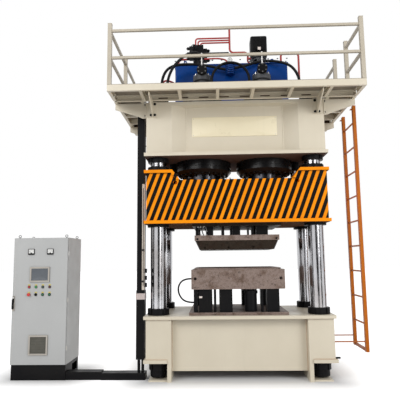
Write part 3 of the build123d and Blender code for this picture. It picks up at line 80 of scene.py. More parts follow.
# One sum on sockets or plain numbers.
def maths(tree, operation, first, second=None):
    node = tree.nodes.new("ShaderNodeMath")
    node.operation = operation
    for socket, value in zip(node.inputs, (first, second)):
        if isinstance(value, (int, float)):
            socket.default_value = value
        elif value is not None:
            tree.links.new(value, socket)
    return node.outputs[0]


# The first colour where factor is 0, the second where it is 1.
def mixColour(tree, factor, first, second):
    node = tree.nodes.new("ShaderNodeMix")
    node.data_type = "RGBA"
    for socket, value in ((node.inputs[0], factor), (node.inputs[6], first), (node.inputs[7], second)):
        if isinstance(value, (int, float)):
            socket.default_value = value
        elif isinstance(value, (tuple, list)):
            socket.default_value = (*value[:3], 1)
        else:
            tree.links.new(value, socket)
    return node.outputs[2]


# Raises the surface by height times distance, by the share that strength gives.
def addBump(tree, shader, height, strength, distance):
    bump = tree.nodes.new("ShaderNodeBump")
    bump.inputs["Strength"].default_value = strength
    bump.inputs["Distance"].default_value = distance
    tree.links.new(height, bump.inputs["Height"])
    tree.links.new(bump.outputs["Normal"], shader.inputs["Normal"])


# One part of the face's direction: 0, 1 and 2 stand for x, y and z.
def normalPart(tree, axis):
    geometry = tree.nodes.new("ShaderNodeNewGeometry")
    parts = tree.nodes.new("ShaderNodeSeparateXYZ")
    tree.links.new(geometry.outputs["Normal"], parts.inputs[0])
    return parts.outputs[axis]


# One object coordinate in metres: 0, 1 and 2 stand for x, y and z.
def placePart(tree, axis):
    coords = tree.nodes.new("ShaderNodeTexCoord")
    parts = tree.nodes.new("ShaderNodeSeparateXYZ")
    tree.links.new(coords.outputs["Object"], parts.inputs[0])
    return parts.outputs[axis]


downSpan = (-0.75, -0.6)  # the upward part of the direction where a face starts and stops to count as an underside


# One on faces that look down, nought on upright faces and on those that look up.
def lookingDown(tree):
    return spread(tree, normalPart(tree, 2), *downSpan, 1.0, 0.0)


edgeLook = {"samples": 4, "softness": 0.12}


# One on worn edges: where the rounded normal leaves the true one.
def edgeMask(tree, radius):
    bevel = tree.nodes.new("ShaderNodeBevel")
    bevel.samples = edgeLook["samples"]
    bevel.inputs["Radius"].default_value = radius
    geometry = tree.nodes.new("ShaderNodeNewGeometry")
    dot = tree.nodes.new("ShaderNodeVectorMath")
    dot.operation = "DOT_PRODUCT"
    tree.links.new(bevel.outputs["Normal"], dot.inputs[0])
    tree.links.new(geometry.outputs["Normal"], dot.inputs[1])
    return spread(tree, dot.outputs["Value"], 1.0 - edgeLook["softness"], 1.0, 1.0, 0.0)


paintLook = {
    "cloudScale": 1.7, "streakStretch": (9.0, 9.0, 0.7), "streakScale": 1.6, "streakShade": 0.62, "chipScale": 38.0,
    "edge": 0.006, "glossScale": 6.0, "grainScale": 260.0, "grain": 0.12, "grainDepth": 0.0008,
}


# Machine paint: broad cloudy tint, upright streaks of grime, chips on worn edges, and below the level primerBelow
# a coat of dull primer on faces that look down.
def paint(name, colour, shade, rough=0.42, wearColour=None, wearAmount=0.5, underside=None, primerBelow=99.0,
          grime=0.35, coat=0.0, specular=0.5):
    look = paintLook
    material, tree, shader = newMaterial(name)
    point = objectPoint(tree)
    clouds = spread(tree, noise(tree, point, look["cloudScale"], 5.0), 0.35, 0.7)
    base = mixColour(tree, clouds, colour, shade)
    streakPoint = objectPoint(tree, look["streakStretch"])
    streaks = spread(tree, noise(tree, streakPoint, look["streakScale"], 6.0, 0.7), 0.56, 0.78, 0.0, grime)
    base = mixColour(tree, streaks, base, tuple(look["streakShade"] * c for c in shade))
    gloss = noise(tree, point, look["glossScale"], 5.0)
    roughness = spread(tree, gloss, 0.3, 0.7, rough - 0.07, rough + 0.12)
    if wearColour is not None:
        ragged = spread(tree, noise(tree, point, look["chipScale"], 4.0, 0.7), 0.45, 0.62, 0.0, wearAmount)
        worn = maths(tree, "MULTIPLY", edgeMask(tree, look["edge"]), ragged)
        base = mixColour(tree, worn, base, wearColour)
    if underside is not None:
        low = maths(tree, "LESS_THAN", placePart(tree, 2), primerBelow)
        down = maths(tree, "MULTIPLY", lookingDown(tree), low)
        base = mixColour(tree, down, base, underside)
        roughness = maths(tree, "MAXIMUM", roughness, down)
    tree.links.new(base, shader.inputs["Base Color"])
    tree.links.new(roughness, shader.inputs["Roughness"])
    addBump(tree, shader, noise(tree, point, look["grainScale"], 3.0), look["grain"], look["grainDepth"])
    shader.inputs["Coat Weight"].default_value = coat
    shader.inputs["Specular IOR Level"].default_value = specular
    return material


metalLook = {"pitScale": 24.0, "edge": 0.008, "edgeHighlightAndWear": 0.5, "edgeHighlightAndWearGain": 1.5, "glossScale": 7.0,
             "grainDepth": 0.0006}


# Bare or plated metal: a directional grain, patches of tarnish, and on rough steel pits and lighter edges, partly
# rubbed wear and partly a painted highlight.
def metal(name, colour, shade, rough=0.3, grain=(1, 1, 1), grainScale=90.0, stain=None, stainAmount=0.0,
          stainScale=3.0, bump=0.06, pits=None, pitAmount=0.7, metallic=1.0, specular=0.5):
    look = metalLook
    material, tree, shader = newMaterial(name)
    point = objectPoint(tree)
    lines = noise(tree, objectPoint(tree, grain), grainScale, 3.0)
    base = mixColour(tree, spread(tree, lines, 0.35, 0.65), colour, shade)
    if stain is not None:
        patches = spread(tree, noise(tree, point, stainScale, 7.0, 0.68), 0.47, 0.66, 0.0, stainAmount)
        base = mixColour(tree, patches, base, stain)
    if pits is not None:
        specks = spread(tree, noise(tree, point, look["pitScale"], 8.0, 0.78), 0.53, 0.66, 0.0, pitAmount)
        base = mixColour(tree, specks, base, pits)
        # The edges are lightened: partly rubbed wear, partly a painted highlight along each edge.
        worn = maths(tree, "MULTIPLY", edgeMask(tree, look["edge"]), look["edgeHighlightAndWear"])
        base = mixColour(tree, worn, base, tuple(min(look["edgeHighlightAndWearGain"] * c, 1) for c in colour))
    tree.links.new(base, shader.inputs["Base Color"])
    shader.inputs["Metallic"].default_value = metallic
    shader.inputs["Specular IOR Level"].default_value = specular
    gloss = noise(tree, point, look["glossScale"], 5.0)
    tree.links.new(spread(tree, gloss, 0.3, 0.7, max(rough - 0.08, 0.03), rough + 0.1), shader.inputs["Roughness"])
    addBump(tree, shader, lines, bump, look["grainDepth"])
    return material


plasticLook = {"tintScale": 11.0, "tintShade": 0.82, "glossScale": 40.0, "speckleDepth": 0.0004}


# Moulded plastic, rubber, enamel dials and lenses: a faint tint, uneven gloss and a fine speckle.
def plastic(name, colour, rough=0.4, speckle=500.0, bump=0.08, coat=0.0, specular=0.5):
    look = plasticLook
    material, tree, shader = newMaterial(name)
    point = objectPoint(tree)
    tint = spread(tree, noise(tree, point, look["tintScale"], 5.0), 0.3, 0.7)
    base = mixColour(tree, tint, colour, tuple(look["tintShade"] * c for c in colour))
    tree.links.new(base, shader.inputs["Base Color"])
    gloss = noise(tree, point, look["glossScale"], 4.0)
    tree.links.new(spread(tree, gloss, 0.3, 0.7, rough - 0.06, rough + 0.1), shader.inputs["Roughness"])
    addBump(tree, shader, noise(tree, point, speckle, 2.0), bump, look["speckleDepth"])
    shader.inputs["Coat Weight"].default_value = coat
    shader.inputs["Specular IOR Level"].default_value = specular
    return material


hazardLook = {
    "pitch": 0.10494, "lean": 0.3848, "shift": 0.9353, "wobble": 0.003, "low": 2.236, "high": 2.928, "half": 0.225,
    "blend": 0.012, "yellow": (0.93, 0.300, 0.004), "amber": (0.82, 0.245, 0.004), "black": (0.003, 0.0032, 0.0042),
    "soot": (0.008, 0.0065, 0.005), "chip": (0.10, 0.07, 0.05), "edge": 0.006, "primer": (0.100, 0.044, 0.022),
    "rough": (0.34, 0.52), "specular": 0.07, "wobbleScale": 14.0, "cloudScale": 3.0, "chipScale": 30.0,
    "chipping": 0.7, "glossScale": 6.0, "grainScale": 240.0, "grain": 0.1, "grainDepth": 0.0008,
}


# Slanted bands: the fraction of (x - lean*z + shift)/pitch is black where it is far from a half, on the upright
# front and back faces between two levels. The flanges round them stay yellow and the underside is primer.
def hazardPaint(look):
    material, tree, shader = newMaterial("hazardPaint")
    point = objectPoint(tree)
    x, z = placePart(tree, 0), placePart(tree, 2)
    across = maths(tree, "SUBTRACT", x, maths(tree, "MULTIPLY", z, look["lean"]))
    wobble = maths(tree, "MULTIPLY", noise(tree, point, look["wobbleScale"], 3.0), look["wobble"])
    across = maths(tree, "ADD", across, wobble)
    phase = maths(tree, "FRACT", maths(tree, "DIVIDE", maths(tree, "ADD", across, look["shift"]), look["pitch"]))
    away = maths(tree, "ABSOLUTE", maths(tree, "SUBTRACT", phase, 0.5))
    dark = spread(tree, away, look["half"] - look["blend"], look["half"] + look["blend"])
    upright = spread(tree, maths(tree, "ABSOLUTE", normalPart(tree, 1)), 0.6, 0.7)
    above = maths(tree, "GREATER_THAN", z, look["low"])
    below = maths(tree, "LESS_THAN", z, look["high"])
    dark = maths(tree, "MULTIPLY", maths(tree, "MULTIPLY", dark, upright), maths(tree, "MULTIPLY", above, below))
    clouds = spread(tree, noise(tree, point, look["cloudScale"], 5.0), 0.3, 0.7)
    yellow = mixColour(tree, clouds, look["yellow"], look["amber"])
    black = mixColour(tree, clouds, look["black"], look["soot"])
    base = mixColour(tree, dark, yellow, black)
    chips = noise(tree, point, look["chipScale"], 5.0, 0.7)
    ragged = spread(tree, chips, 0.55, 0.68, 0.0, look["chipping"])
    worn = maths(tree, "MULTIPLY", edgeMask(tree, look["edge"]), ragged)
    base = mixColour(tree, worn, base, look["chip"])
    down = lookingDown(tree)
    base = mixColour(tree, down, base, look["primer"])
    tree.links.new(base, shader.inputs["Base Color"])
    roughness = spread(tree, noise(tree, point, look["glossScale"], 5.0), 0.3, 0.7, *look["rough"])
    tree.links.new(maths(tree, "MAXIMUM", roughness, down), shader.inputs["Roughness"])
    addBump(tree, shader, noise(tree, point, look["grainScale"], 3.0), look["grain"], look["grainDepth"])
    shader.inputs["Specular IOR Level"].default_value = look["specular"]
    return material


deckLook = {"colour": (0.235, 0.200, 0.150), "shade": (0.180, 0.150, 0.112), "scuff": 0.45, "pitch": 0.0155,
            "rubbed": (0.62, 0.58, 0.52), "rubbing": 0.35, "rough": 0.5, "height": 0.002, "cloudScale": 2.2,
            "scuffScale": 17.0, "scuffing": 0.6, "bump": 0.8}


# Worn deck paint over a raised tread: on faces that look up, bars where the waves sin(x + y) and sin(x - y) meet.
def treadPaint(look):
    material, tree, shader = newMaterial("deckPaint")
    point = objectPoint(tree)
    clouds = spread(tree, noise(tree, point, look["cloudScale"], 6.0), 0.35, 0.7)
    base = mixColour(tree, clouds, look["colour"], look["shade"])
    scuffs = spread(tree, noise(tree, point, look["scuffScale"], 7.0, 0.75), 0.54, 0.66, 0.0, look["scuffing"])
    base = mixColour(tree, scuffs, base, tuple(look["scuff"] * c for c in look["shade"]))
    x, y = placePart(tree, 0), placePart(tree, 1)
    waves = [maths(tree, "SINE", maths(tree, "MULTIPLY", maths(tree, way, x, y), math.pi / look["pitch"]))
             for way in ("ADD", "SUBTRACT")]
    bars = spread(tree, maths(tree, "MULTIPLY", *waves), 0.35, 0.7)
    bars = maths(tree, "MULTIPLY", bars, spread(tree, normalPart(tree, 2), 0.8, 0.9))
    base = mixColour(tree, maths(tree, "MULTIPLY", bars, look["rubbing"]), base, look["rubbed"])
    tree.links.new(base, shader.inputs["Base Color"])
    shader.inputs["Roughness"].default_value = look["rough"]
    addBump(tree, shader, bars, look["bump"], look["height"])
    return material


primer = (0.075, 0.042, 0.028)
cream = paint("creamPaint", (0.640, 0.580, 0.462), (0.600, 0.540, 0.425), rough=0.38,
              wearColour=(0.30, 0.22, 0.15), wearAmount=0.40, underside=primer, primerBelow=3.4, grime=0.10)
creamRail = paint("creamRailPaint", (0.500, 0.450, 0.365), (0.440, 0.394, 0.315), wearColour=(0.28, 0.20, 0.13),
                  wearAmount=0.6, grime=0.28, specular=0.25)
creamRust = paint("creamRust", (0.62, 0.52, 0.40), (0.42, 0.28, 0.18), rough=0.5, wearColour=(0.25, 0.15, 0.10),
                  wearAmount=0.6)
hazard = hazardPaint(hazardLook)
deckPaint = treadPaint(deckLook)
blackPaint = paint("blackPaint", (0.0045, 0.0045, 0.0055), (0.0085, 0.0080, 0.0080), rough=0.38,
                   wearColour=(0.06, 0.05, 0.045), grime=0.15, specular=0.09)
blackEnamel = paint("blackEnamel", (0.005, 0.005, 0.006), (0.009, 0.009, 0.009), rough=0.20,
                    wearColour=(0.05, 0.045, 0.04), wearAmount=0.4, grime=0.10, specular=0.20)
bluePaint = paint("bluePaint", (0.002, 0.050, 0.250), (0.002, 0.036, 0.190), rough=0.30,
                  wearColour=(0.08, 0.075, 0.075), grime=0.30, specular=0.15)
greyPaint = paint("greyPaint", (0.085, 0.088, 0.095), (0.060, 0.062, 0.068), rough=0.36,
                  wearColour=(0.04, 0.035, 0.03), specular=0.2)
orangePaint = paint("orangePaint", (0.47, 0.125, 0.006), (0.38, 0.095, 0.005), rough=0.36,
                    wearColour=(0.12, 0.05, 0.03), wearAmount=0.6, specular=0.12)
redPaint = paint("redPaint", (0.42, 0.018, 0.014), (0.33, 0.014, 0.012), rough=0.32, wearColour=(0.10, 0.05, 0.04),
                 coat=0.1)
cabinetPaint = paint("cabinetPaint", (0.440, 0.445, 0.442), (0.417, 0.422, 0.419), rough=0.46,
                     wearColour=(0.25, 0.25, 0.25), wearAmount=0.3, grime=0.08)
stripSteel = paint("stripSteel", (0.56, 0.50, 0.43), (0.46, 0.40, 0.33), rough=0.40, wearColour=(0.25, 0.16, 0.10),
                   wearAmount=0.7)
bandPaint = paint("bandPaint", (0.52, 0.44, 0.42), (0.44, 0.37, 0.35), grime=0.3)
# Painted shade: the dark primer colour of the strips behind the platform beams' slots.
slotShadePaint = paint("slotShadePaint", primer, tuple(0.8 * c for c in primer), rough=0.6, specular=0.2)
plateEnamel = paint("plateEnamel", (0.800, 0.720, 0.520), (0.760, 0.680, 0.485), rough=0.30, grime=0.10)
labelYellow = paint("labelYellow", (0.60, 0.50, 0.12), (0.52, 0.43, 0.10), rough=0.4, grime=0.1)
bezelGrey = paint("bezelGrey", (0.430, 0.400, 0.355), (0.38, 0.35, 0.31), rough=0.40, grime=0.1)
chrome = metal("hardChrome", (0.56, 0.56, 0.580), (0.46, 0.46, 0.480), rough=0.15, grain=(1, 1, 0.06),
               grainScale=40.0, stain=(0.30, 0.26, 0.23), stainAmount=0.5, stainScale=1.6, bump=0.004)
ramSteel = metal("darkRamSteel", (0.070, 0.070, 0.078), (0.045, 0.045, 0.050), rough=0.20, grain=(1, 1, 14),
                 grainScale=24.0)
toolSteel = metal("toolSteel", (0.275, 0.212, 0.186), (0.178, 0.130, 0.108), rough=0.55, grain=(1, 1, 5),
                  grainScale=60.0, stain=(0.098, 0.058, 0.038), stainAmount=0.85, stainScale=8.0, bump=0.18,
                  pits=(0.026, 0.017, 0.013), pitAmount=0.90, metallic=0.50, specular=0.30)
darkTool = metal("darkToolSteel", (0.040, 0.029, 0.021), (0.022, 0.016, 0.012), rough=0.50, grain=(1, 1, 4),
                 grainScale=60.0, stain=(0.026, 0.014, 0.009), stainAmount=0.75, stainScale=9.0, bump=0.18,
                 pits=(0.006, 0.004, 0.003), pitAmount=0.8, metallic=0.30, specular=0.08)
zinc = metal("zincPlate", (0.58, 0.57, 0.55), (0.47, 0.46, 0.44), rough=0.34, grainScale=40.0,
             stain=(0.36, 0.31, 0.25), stainAmount=0.35)
darkZinc = metal("darkZinc", (0.20, 0.20, 0.20), (0.13, 0.13, 0.13), rough=0.36, grainScale=40.0,
                 stain=(0.10, 0.09, 0.07), stainAmount=0.4)
rubber = plastic("hoseRubber", (0.007, 0.007, 0.008), rough=0.50, speckle=300.0, bump=0.2, specular=0.15)
blackPlastic = plastic("blackPlastic", (0.006, 0.006, 0.007), specular=0.15)
greenPlastic = plastic("greenPlastic", (0.010, 0.130, 0.050), rough=0.28, coat=0.3)
redPlastic = plastic("redPlastic", (0.56, 0.020, 0.014), rough=0.28, coat=0.4)
ventPlastic = plastic("ventPlastic", (0.105, 0.100, 0.082), rough=0.55, specular=0.25)
dialWhite = plastic("dialWhite", (0.78, 0.78, 0.76), rough=0.35)
tagWhite = plastic("tagWhite", (0.74, 0.66, 0.60), rough=0.5)
screenGlass = plastic("screenGlass", (0.080, 0.093, 0.110), rough=0.12, speckle=900.0, bump=0.01, coat=0.6)
lensColours = {"redLens": (0.36, 0.012, 0.014), "greenLens": (0.02, 0.22, 0.05), "darkLens": (0.008, 0.030, 0.024),
               "darkRedLens": (0.075, 0.012, 0.012)}
lenses = {name: plastic(name, colour, rough=0.15, speckle=300.0, bump=0.03, coat=0.6)
          for name, colour in lensColours.items()}

finishes = {
    "bed": cream, "crown": cream, "platform_frame": cream, "platform_brackets": cream, "railing": creamRail,
    "deck_plates": deckPaint, "slide": hazard, "columns": chrome, "column_nuts": blackPaint,
    "bracket_bolts": blackPaint, "main_cylinders": blackEnamel, "rams": ramSteel, "return_cylinders": blackPaint,
    "return_rods": chrome, "slide_glands": blackPaint, "clamp_plate": darkTool, "punch_spacers": blackPaint,
    "punch_plate": toolSteel, "punch": darkTool, "die_base": toolSteel, "die_risers": blackPaint,
    "ejectors": blackPaint, "die_block": toolSteel, "ladder": orangePaint, "tank": bluePaint,
    "tank_lid": bluePaint, "motor": blackPaint, "bell_housing": greyPaint, "prefill_valves": greyPaint,
    "prefill_caps": blackPaint, "oil_filter": bluePaint, "gauge": zinc, "valve_manifold": blackPaint,
    "valves": blackPlastic, "upper_handwheel": blackPlastic, "lower_handwheel": blackPlastic,
    "pressure_pipes": redPaint, "arch_pipe": blackPaint, "hose_fittings": blackPaint, "left_hose": rubber,
    "left_inner_hose": rubber, "right_hose": rubber, "tool_hose": rubber, "cable_trunk": blackPaint,
    "trunk_band": bandPaint, "floor_duct": blackPaint, "guide_strip": stripSteel, "strip_fittings": blackPlastic,
    "cabinet_shell": cabinetPaint, "cabinet_door": cabinetPaint, "cabinet_base": blackPaint,
    "cabinet_hinges": zinc, "lifting_eyes": darkZinc, "door_panel": blackPlastic, "vent": ventPlastic,
    "door_handle": blackPlastic, "stop_button": redPlastic, "selector_knob": blackPlastic,
    "start_button": greenPlastic, "reset_button": greenPlastic,
}
for nodeName, nodeObject in nodes.items():
    nodeObject.data.materials.clear()
    nodeObject.data.materials.append(finishes[nodeName])
print("finishes:", len(finishes))

axisFrames = {  # the first two directions span a section, the third is the axis
    "+Z": ((1, 0, 0), (0, 1, 0), (0, 0, 1)), "-Z": ((0, 1, 0), (1, 0, 0), (0, 0, -1)),
    "+Y": ((0, 0, 1), (1, 0, 0), (0, 1, 0)), "-Y": ((1, 0, 0), (0, 0, 1), (0, -1, 0)),
    "+X": ((0, 1, 0), (0, 0, 1), (1, 0, 0)), "-X": ((0, 0, 1), (0, 1, 0), (-1, 0, 0)),
}


# Vertices and quads of a grid of points (rows, columns, 3), whose last column joins the first.
def gridPatch(points):
    rows, columns = points.shape[:2]
    near = np.arange(rows * columns).reshape(rows, columns)
    far = np.roll(near, -1, axis=1)
    quads = np.stack([near[:-1], far[:-1], far[1:], near[1:]], axis=-1).reshape(-1, 4)
    return points.reshape(-1, 3), quads


# Point (radius, height) of the profile at angle t is centre + radius*(cos t, sin t) + height*axis.
def latheLike(profile, centre, axis="+Z", sides=48, phase=0.0):
    radius, height = np.asarray(profile, float).T
    first, second, third = (np.array(v, float) for v in axisFrames[axis])
    angle = phase + np.arange(sides) * 2 * np.pi / sides
    ring = np.cos(angle)[:, None] * first + np.sin(angle)[:, None] * second
    points = radius[:, None, None] * ring + height[:, None, None] * third + np.asarray(centre, float)
    return gridPatch(points)


# A rounded rectangle, width by height, raised along the axis. Its front edge is a quarter round: at angle a the
# outline is pulled in by edge*(1 - cos a) at the level depth - edge + edge*sin a.
def plateLike(centre, size, corner, edge, axis="-Y", steps=5):
    width, height, depth = size
    first, second, third = (np.array(v, float) for v in axisFrames[axis])
    quarter = np.linspace(0, np.pi / 2, steps)
    angle = (np.arange(4)[:, None] * np.pi / 2 + quarter).ravel()
    signX = np.repeat([1, -1, -1, 1], steps)
    signY = np.repeat([1, 1, -1, -1], steps)
    roll = np.linspace(0, np.pi / 2, 4)
    inset = np.concatenate([[0, 0], edge * (1 - np.cos(roll)), [edge, edge]])
    level = np.concatenate([[0, 0], depth - edge + edge * np.sin(roll), [depth, depth]])
    keep = np.concatenate([[0], np.ones(len(inset) - 2), [0]])  # the first and last rows close in a point
    across = signX * (width / 2 - corner) + np.maximum(corner - inset, 0)[:, None] * np.cos(angle)
    upward = signY * (height / 2 - corner) + np.maximum(corner - inset, 0)[:, None] * np.sin(angle)
    points = (across * keep[:, None])[..., None] * first + (upward * keep[:, None])[..., None] * second
    points = points + level[:, None, None] * third + np.asarray(centre, float)
    return gridPatch(points)


# A small plate on a front face: a rounded rectangle with a finely rounded edge.
def thinPlate(centre, size, corner=0.002, edge=0.0006):
    return plateLike(centre, size, corner, edge, "-Y", 3)


tubeEnd = 0.0001  # a tube's first and last rings shrink to this radius and close it


# A ring of the given radius carried along the path; ripple swells it by sin(length/wave).
def tubeLike(path, radius, reference, sides=16, ripple=0.0, wave=0.01):
    path = np.asarray(path, float)
    tangent = np.gradient(path, axis=0)
    tangent /= np.linalg.norm(tangent, axis=1)[:, None]
    side = np.cross(tangent, np.asarray(reference, float))
    side /= np.linalg.norm(side, axis=1)[:, None]
    upward = np.cross(side, tangent)
    run = np.concatenate([[0], np.cumsum(np.linalg.norm(np.diff(path, axis=0), axis=1))])
    size = radius * (1 + ripple * np.sin(run / wave))
    size[[0, -1]] = tubeEnd
    angle = np.arange(sides) * 2 * np.pi / sides
    ring = np.cos(angle)[None, :, None] * side[:, None, :] + np.sin(angle)[None, :, None] * upward[:, None, :]
    return gridPatch(path[:, None, :] + size[:, None, None] * ring)


# Evenly spaced points from start to end.
def straight(start, end, step=0.02):
    count = max(int(np.linalg.norm(np.subtract(end, start)) / step), 2) + 1
    return np.linspace(start, end, count)


# A smooth line near the points: each point of a fine path becomes the mean of itself and its neighbours.
def smoothPath(points, step=0.015, turns=14):
    points = np.asarray(points, float)
    run = np.concatenate([[0], np.cumsum(np.linalg.norm(np.diff(points, axis=0), axis=1))])
    fine = np.linspace(0, run[-1], max(int(run[-1] / step), 8))
    path = np.stack([np.interp(fine, run, points[:, axis]) for axis in range(3)], axis=1)
    for turn in range(turns):
        path[1:-1] = (path[:-2] + 2 * path[1:-1] + path[2:]) / 4
    return path


meshLook = {"sharp": 35, "joinWithin": 1e-5, "sliver": 1e-7}


# Joins the patches in one closed mesh, shaded smooth up to the sharp angle.
def makePiece(name, patches, material, body="root"):
    starts = np.cumsum([0] + [len(verts) for verts, quads in patches[:-1]])
    verts = np.concatenate([verts for verts, quads in patches])
    quads = np.concatenate([quads + start for (points, quads), start in zip(patches, starts)])
    mesh = bpy.data.meshes.new(name)
    mesh.from_pydata(verts.tolist(), [], quads.tolist())
    work = bmesh.new()
    work.from_mesh(mesh)
    bmesh.ops.remove_doubles(work, verts=work.verts, dist=meshLook["joinWithin"])
    bmesh.ops.dissolve_degenerate(work, edges=work.edges, dist=meshLook["sliver"])
    bmesh.ops.recalc_face_normals(work, faces=work.faces)
    work.to_mesh(mesh)
    work.free()
    mesh.shade_smooth()
    mesh.set_sharp_from_angle(angle=math.radians(meshLook["sharp"]))
    mesh.materials.append(material)
    piece = bpy.data.objects.new(name, mesh)
    bpy.context.scene.collection.objects.link(piece)
    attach(piece, body)
    return piece


# Hexagon heads on a circle: six sides carried up a short chamfered profile.
def boltRing(centre, radius, count, size, axis, phase=0.0):
    first, second, third = (np.array(v, float) for v in axisFrames[axis])
    head = [(0, 0), (size / 2, 0), (size / 2, size * 0.32), (size * 0.42, size * 0.4), (0, size * 0.4)]
    angles = phase + np.arange(count) * 2 * np.pi / count
    places = (np.asarray(centre) + radius * (np.cos(angles)[:, None] * first + np.sin(angles)[:, None] * second))
    return [latheLike(head, place, axis, 6, angle) for place, angle in zip(places, angles)]


# Round heads on washers, one at each place.
def boltRow(places, size, axis):
    head = [(0, 0), (size * 0.72, 0), (size * 0.72, size * 0.08), (size / 2, size * 0.08),
            (size / 2, size * 0.36), (size * 0.42, size * 0.44), (0, size * 0.44)]
    return [latheLike(head, place, axis, 12, 0.3) for place in places]


# The same head on a circle round each of the two cylinders, facing down.
def headsUnderCylinders(head, x, radius, level, count):
    angles = np.arange(count) * 2 * np.pi / count
    return [latheLike(head, (sx * x + radius * math.cos(a), radius * math.sin(a), level), "-Z", 12)
            for sx in bothSides for a in angles]


columnLook = {"x": 1.15, "y": 0.45, "foot": 0.042, "bare": 0.20, "top": 4.152, "radius": 0.115, "edge": 0.010,
              "eye": 0.024, "eyeDepth": 0.09}


# Four smooth columns: a chamfered line turned about each column's axis, with a lifting hole on top.
def buildColumns(look):
    radius, edge, foot, low, high = look["radius"], look["edge"], look["foot"], look["bare"], look["top"]
    eye, eyeFloor = look["eye"], look["top"] - look["eyeDepth"]
    places = [(sx * look["x"], sy * look["y"], 0) for sx in bothSides for sy in bothSides]
    shaft = [(0, low), (radius, low), (radius, high - edge), (radius - edge, high), (eye, high), (eye, eyeFloor),
             (0, eyeFloor)]
    columnSet = makePiece("columnSet", [latheLike(shaft, place, "+Z", 96) for place in places], chrome)
    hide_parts("columns")
    end = [(0, foot), (radius - edge, foot), (radius, foot + edge), (radius, low), (0, low)]
    makePiece("columnFeet", [latheLike(end, place, "+Z", 64) for place in places], blackPaint)


plateLook = {"centre": (0.0, -0.5, 3.647), "size": (1.272, 0.300, 0.008), "corner": 0.012, "edge": 0.003,
             "screwInset": 0.022, "screw": 0.012}


# The bare plate on the crown: a rounded sheet with a domed screw in each corner.
def buildNameplate(look):
    x, y, z = look["centre"]
    width, height, depth = look["size"]
    inset, screw = look["screwInset"], look["screw"]
    makePiece("namePlate", [plateLike(look["centre"], look["size"], look["corner"], look["edge"])], plateEnamel)
    places = [(x + sx * (width / 2 - inset), y - depth, z + sz * (height / 2 - inset))
              for sx in bothSides for sz in bothSides]
    dome = [(0, 0), (screw / 2, 0), (screw * 0.42, 0.003), (screw * 0.2, 0.0042), (0, 0.0045)]
    makePiece("nameplateScrews", [latheLike(dome, place, "-Y", 16) for place in places], zinc)


weldLook = {
    "radius": 0.009, "ripple": 0.16, "wave": 0.004, "step": 0.008, "sides": 8,
    "crown": {"panel": 0.5, "front": 0.65, "low": 3.230, "high": 3.950, "recess": 0.725, "pilaster": 0.930,
              "side": 1.305},
    "bed": {"panel": 0.53, "front": 0.65, "low": 0.125, "high": 0.845, "pilaster": 0.95, "side": 1.305,
            "foot": 0.300, "footInner": 1.005, "footBack": 0.305},
}


# A weld bead: a small tube with a fine ripple along a straight seam.
def bead(start, end):
    along = np.subtract(end, start)
    reference = (0, 0, 1) if abs(along[2]) < 0.7 * np.linalg.norm(along) else (1, 0, 0)
    return tubeLike(straight(start, end, weldLook["step"]), weldLook["radius"], reference, weldLook["sides"],
                    weldLook["ripple"], weldLook["wave"])


# Beads where the crown's plates meet its pilasters, its recessed panels and its sides.
def buildCrownWelds(look):
    recess, pilaster, side, low, high = (look[key] for key in ("recess", "pilaster", "side", "low", "high"))
    seams = []
    for sy in bothSides:
        panel, front = sy * look["panel"], sy * look["front"]
        for z in (low, high):
            seams.append(bead((-recess, panel, z), (recess, panel, z)))
            for sx in bothSides:
                seams.append(bead((sx * recess, panel, z), (sx * pilaster, front, z)))
                if z == low:
                    seams.append(bead((sx * pilaster, front, z), (sx * side, front, z)))
        for sx in bothSides:
            seams.append(bead((sx * recess, panel, low), (sx * recess, panel, high)))
    for sx in bothSides:
        seams.append(bead((sx * side, -look["front"], low), (sx * side, look["front"], low)))
    makePiece("crownWelds", seams, cream)


# Beads under the bed's top plate, down its pilasters and over its feet.
def buildBedWelds(look):
    pilaster, side, low, high, foot = (look[key] for key in ("pilaster", "side", "low", "high", "foot"))
    seams = []
    for sy in bothSides:
        panel, front, back = sy * look["panel"], sy * look["front"], sy * look["footBack"]
        seams.append(bead((-pilaster, panel, high), (pilaster, panel, high)))
        for sx in bothSides:
            seams.append(bead((sx * pilaster, front, high), (sx * side, front, high)))
            seams.append(bead((sx * pilaster, panel, low), (sx * pilaster, panel, high)))
            seams.append(bead((sx * look["footInner"], front, foot), (sx * side, front, foot)))
            seams.append(bead((sx * side, back, foot), (sx * side, front, foot)))
    for sx in bothSides:
        seams.append(bead((sx * side, -look["front"], high), (sx * side, look["front"], high)))
    makePiece("bedWelds", seams, creamRust)


glandLook = {
    "x": 0.485, "ring": 0.318, "level": 2.966, "bolts": 16,
    "head": [(0, 0), (0.018, 0), (0.018, 0.016), (0.01584, 0.019), (0.009, 0.019), (0.009, 0.010), (0, 0.010)],
    "guides": (1.15, 0.45, 3.043), "guideRing": 0.138, "guideBolts": 8, "guideBolt": 0.026, "guidePhase": 0.2,
}


# Socket heads round the underside of both main glands, and hexagons on the guide glands.
def buildGlandBolts(look):
    heads = headsUnderCylinders(look["head"], look["x"], look["ring"], look["level"], look["bolts"])
    makePiece("glandBolts", heads, blackPaint)
    x, y, z = look["guides"]
    patches = []
    for sx in bothSides:
        for sy in bothSides:
            patches += boltRing((sx * x, sy * y, z), look["guideRing"], look["guideBolts"], look["guideBolt"], "+Z",
                                look["guidePhase"])
    makePiece("guideGlandBolts", patches, blackPaint, "slide_body")


fittingLook = {
    "x": -0.07, "y": -0.20, "low": 2.823, "size": (0.075, 0.06), "height": 0.05, "corner": 0.008, "edge": 0.004,
    "sideLevel": 0.026, "nipple": [(0, 0), (0.017, 0), (0.017, 0.02), (0.012, 0.024), (0.012, 0.05), (0, 0.052)],
    "union": [(0, 0), (0.014, 0), (0.014, 0.018), (0.008, 0.024), (0.008, 0.05), (0, 0.05)],
}


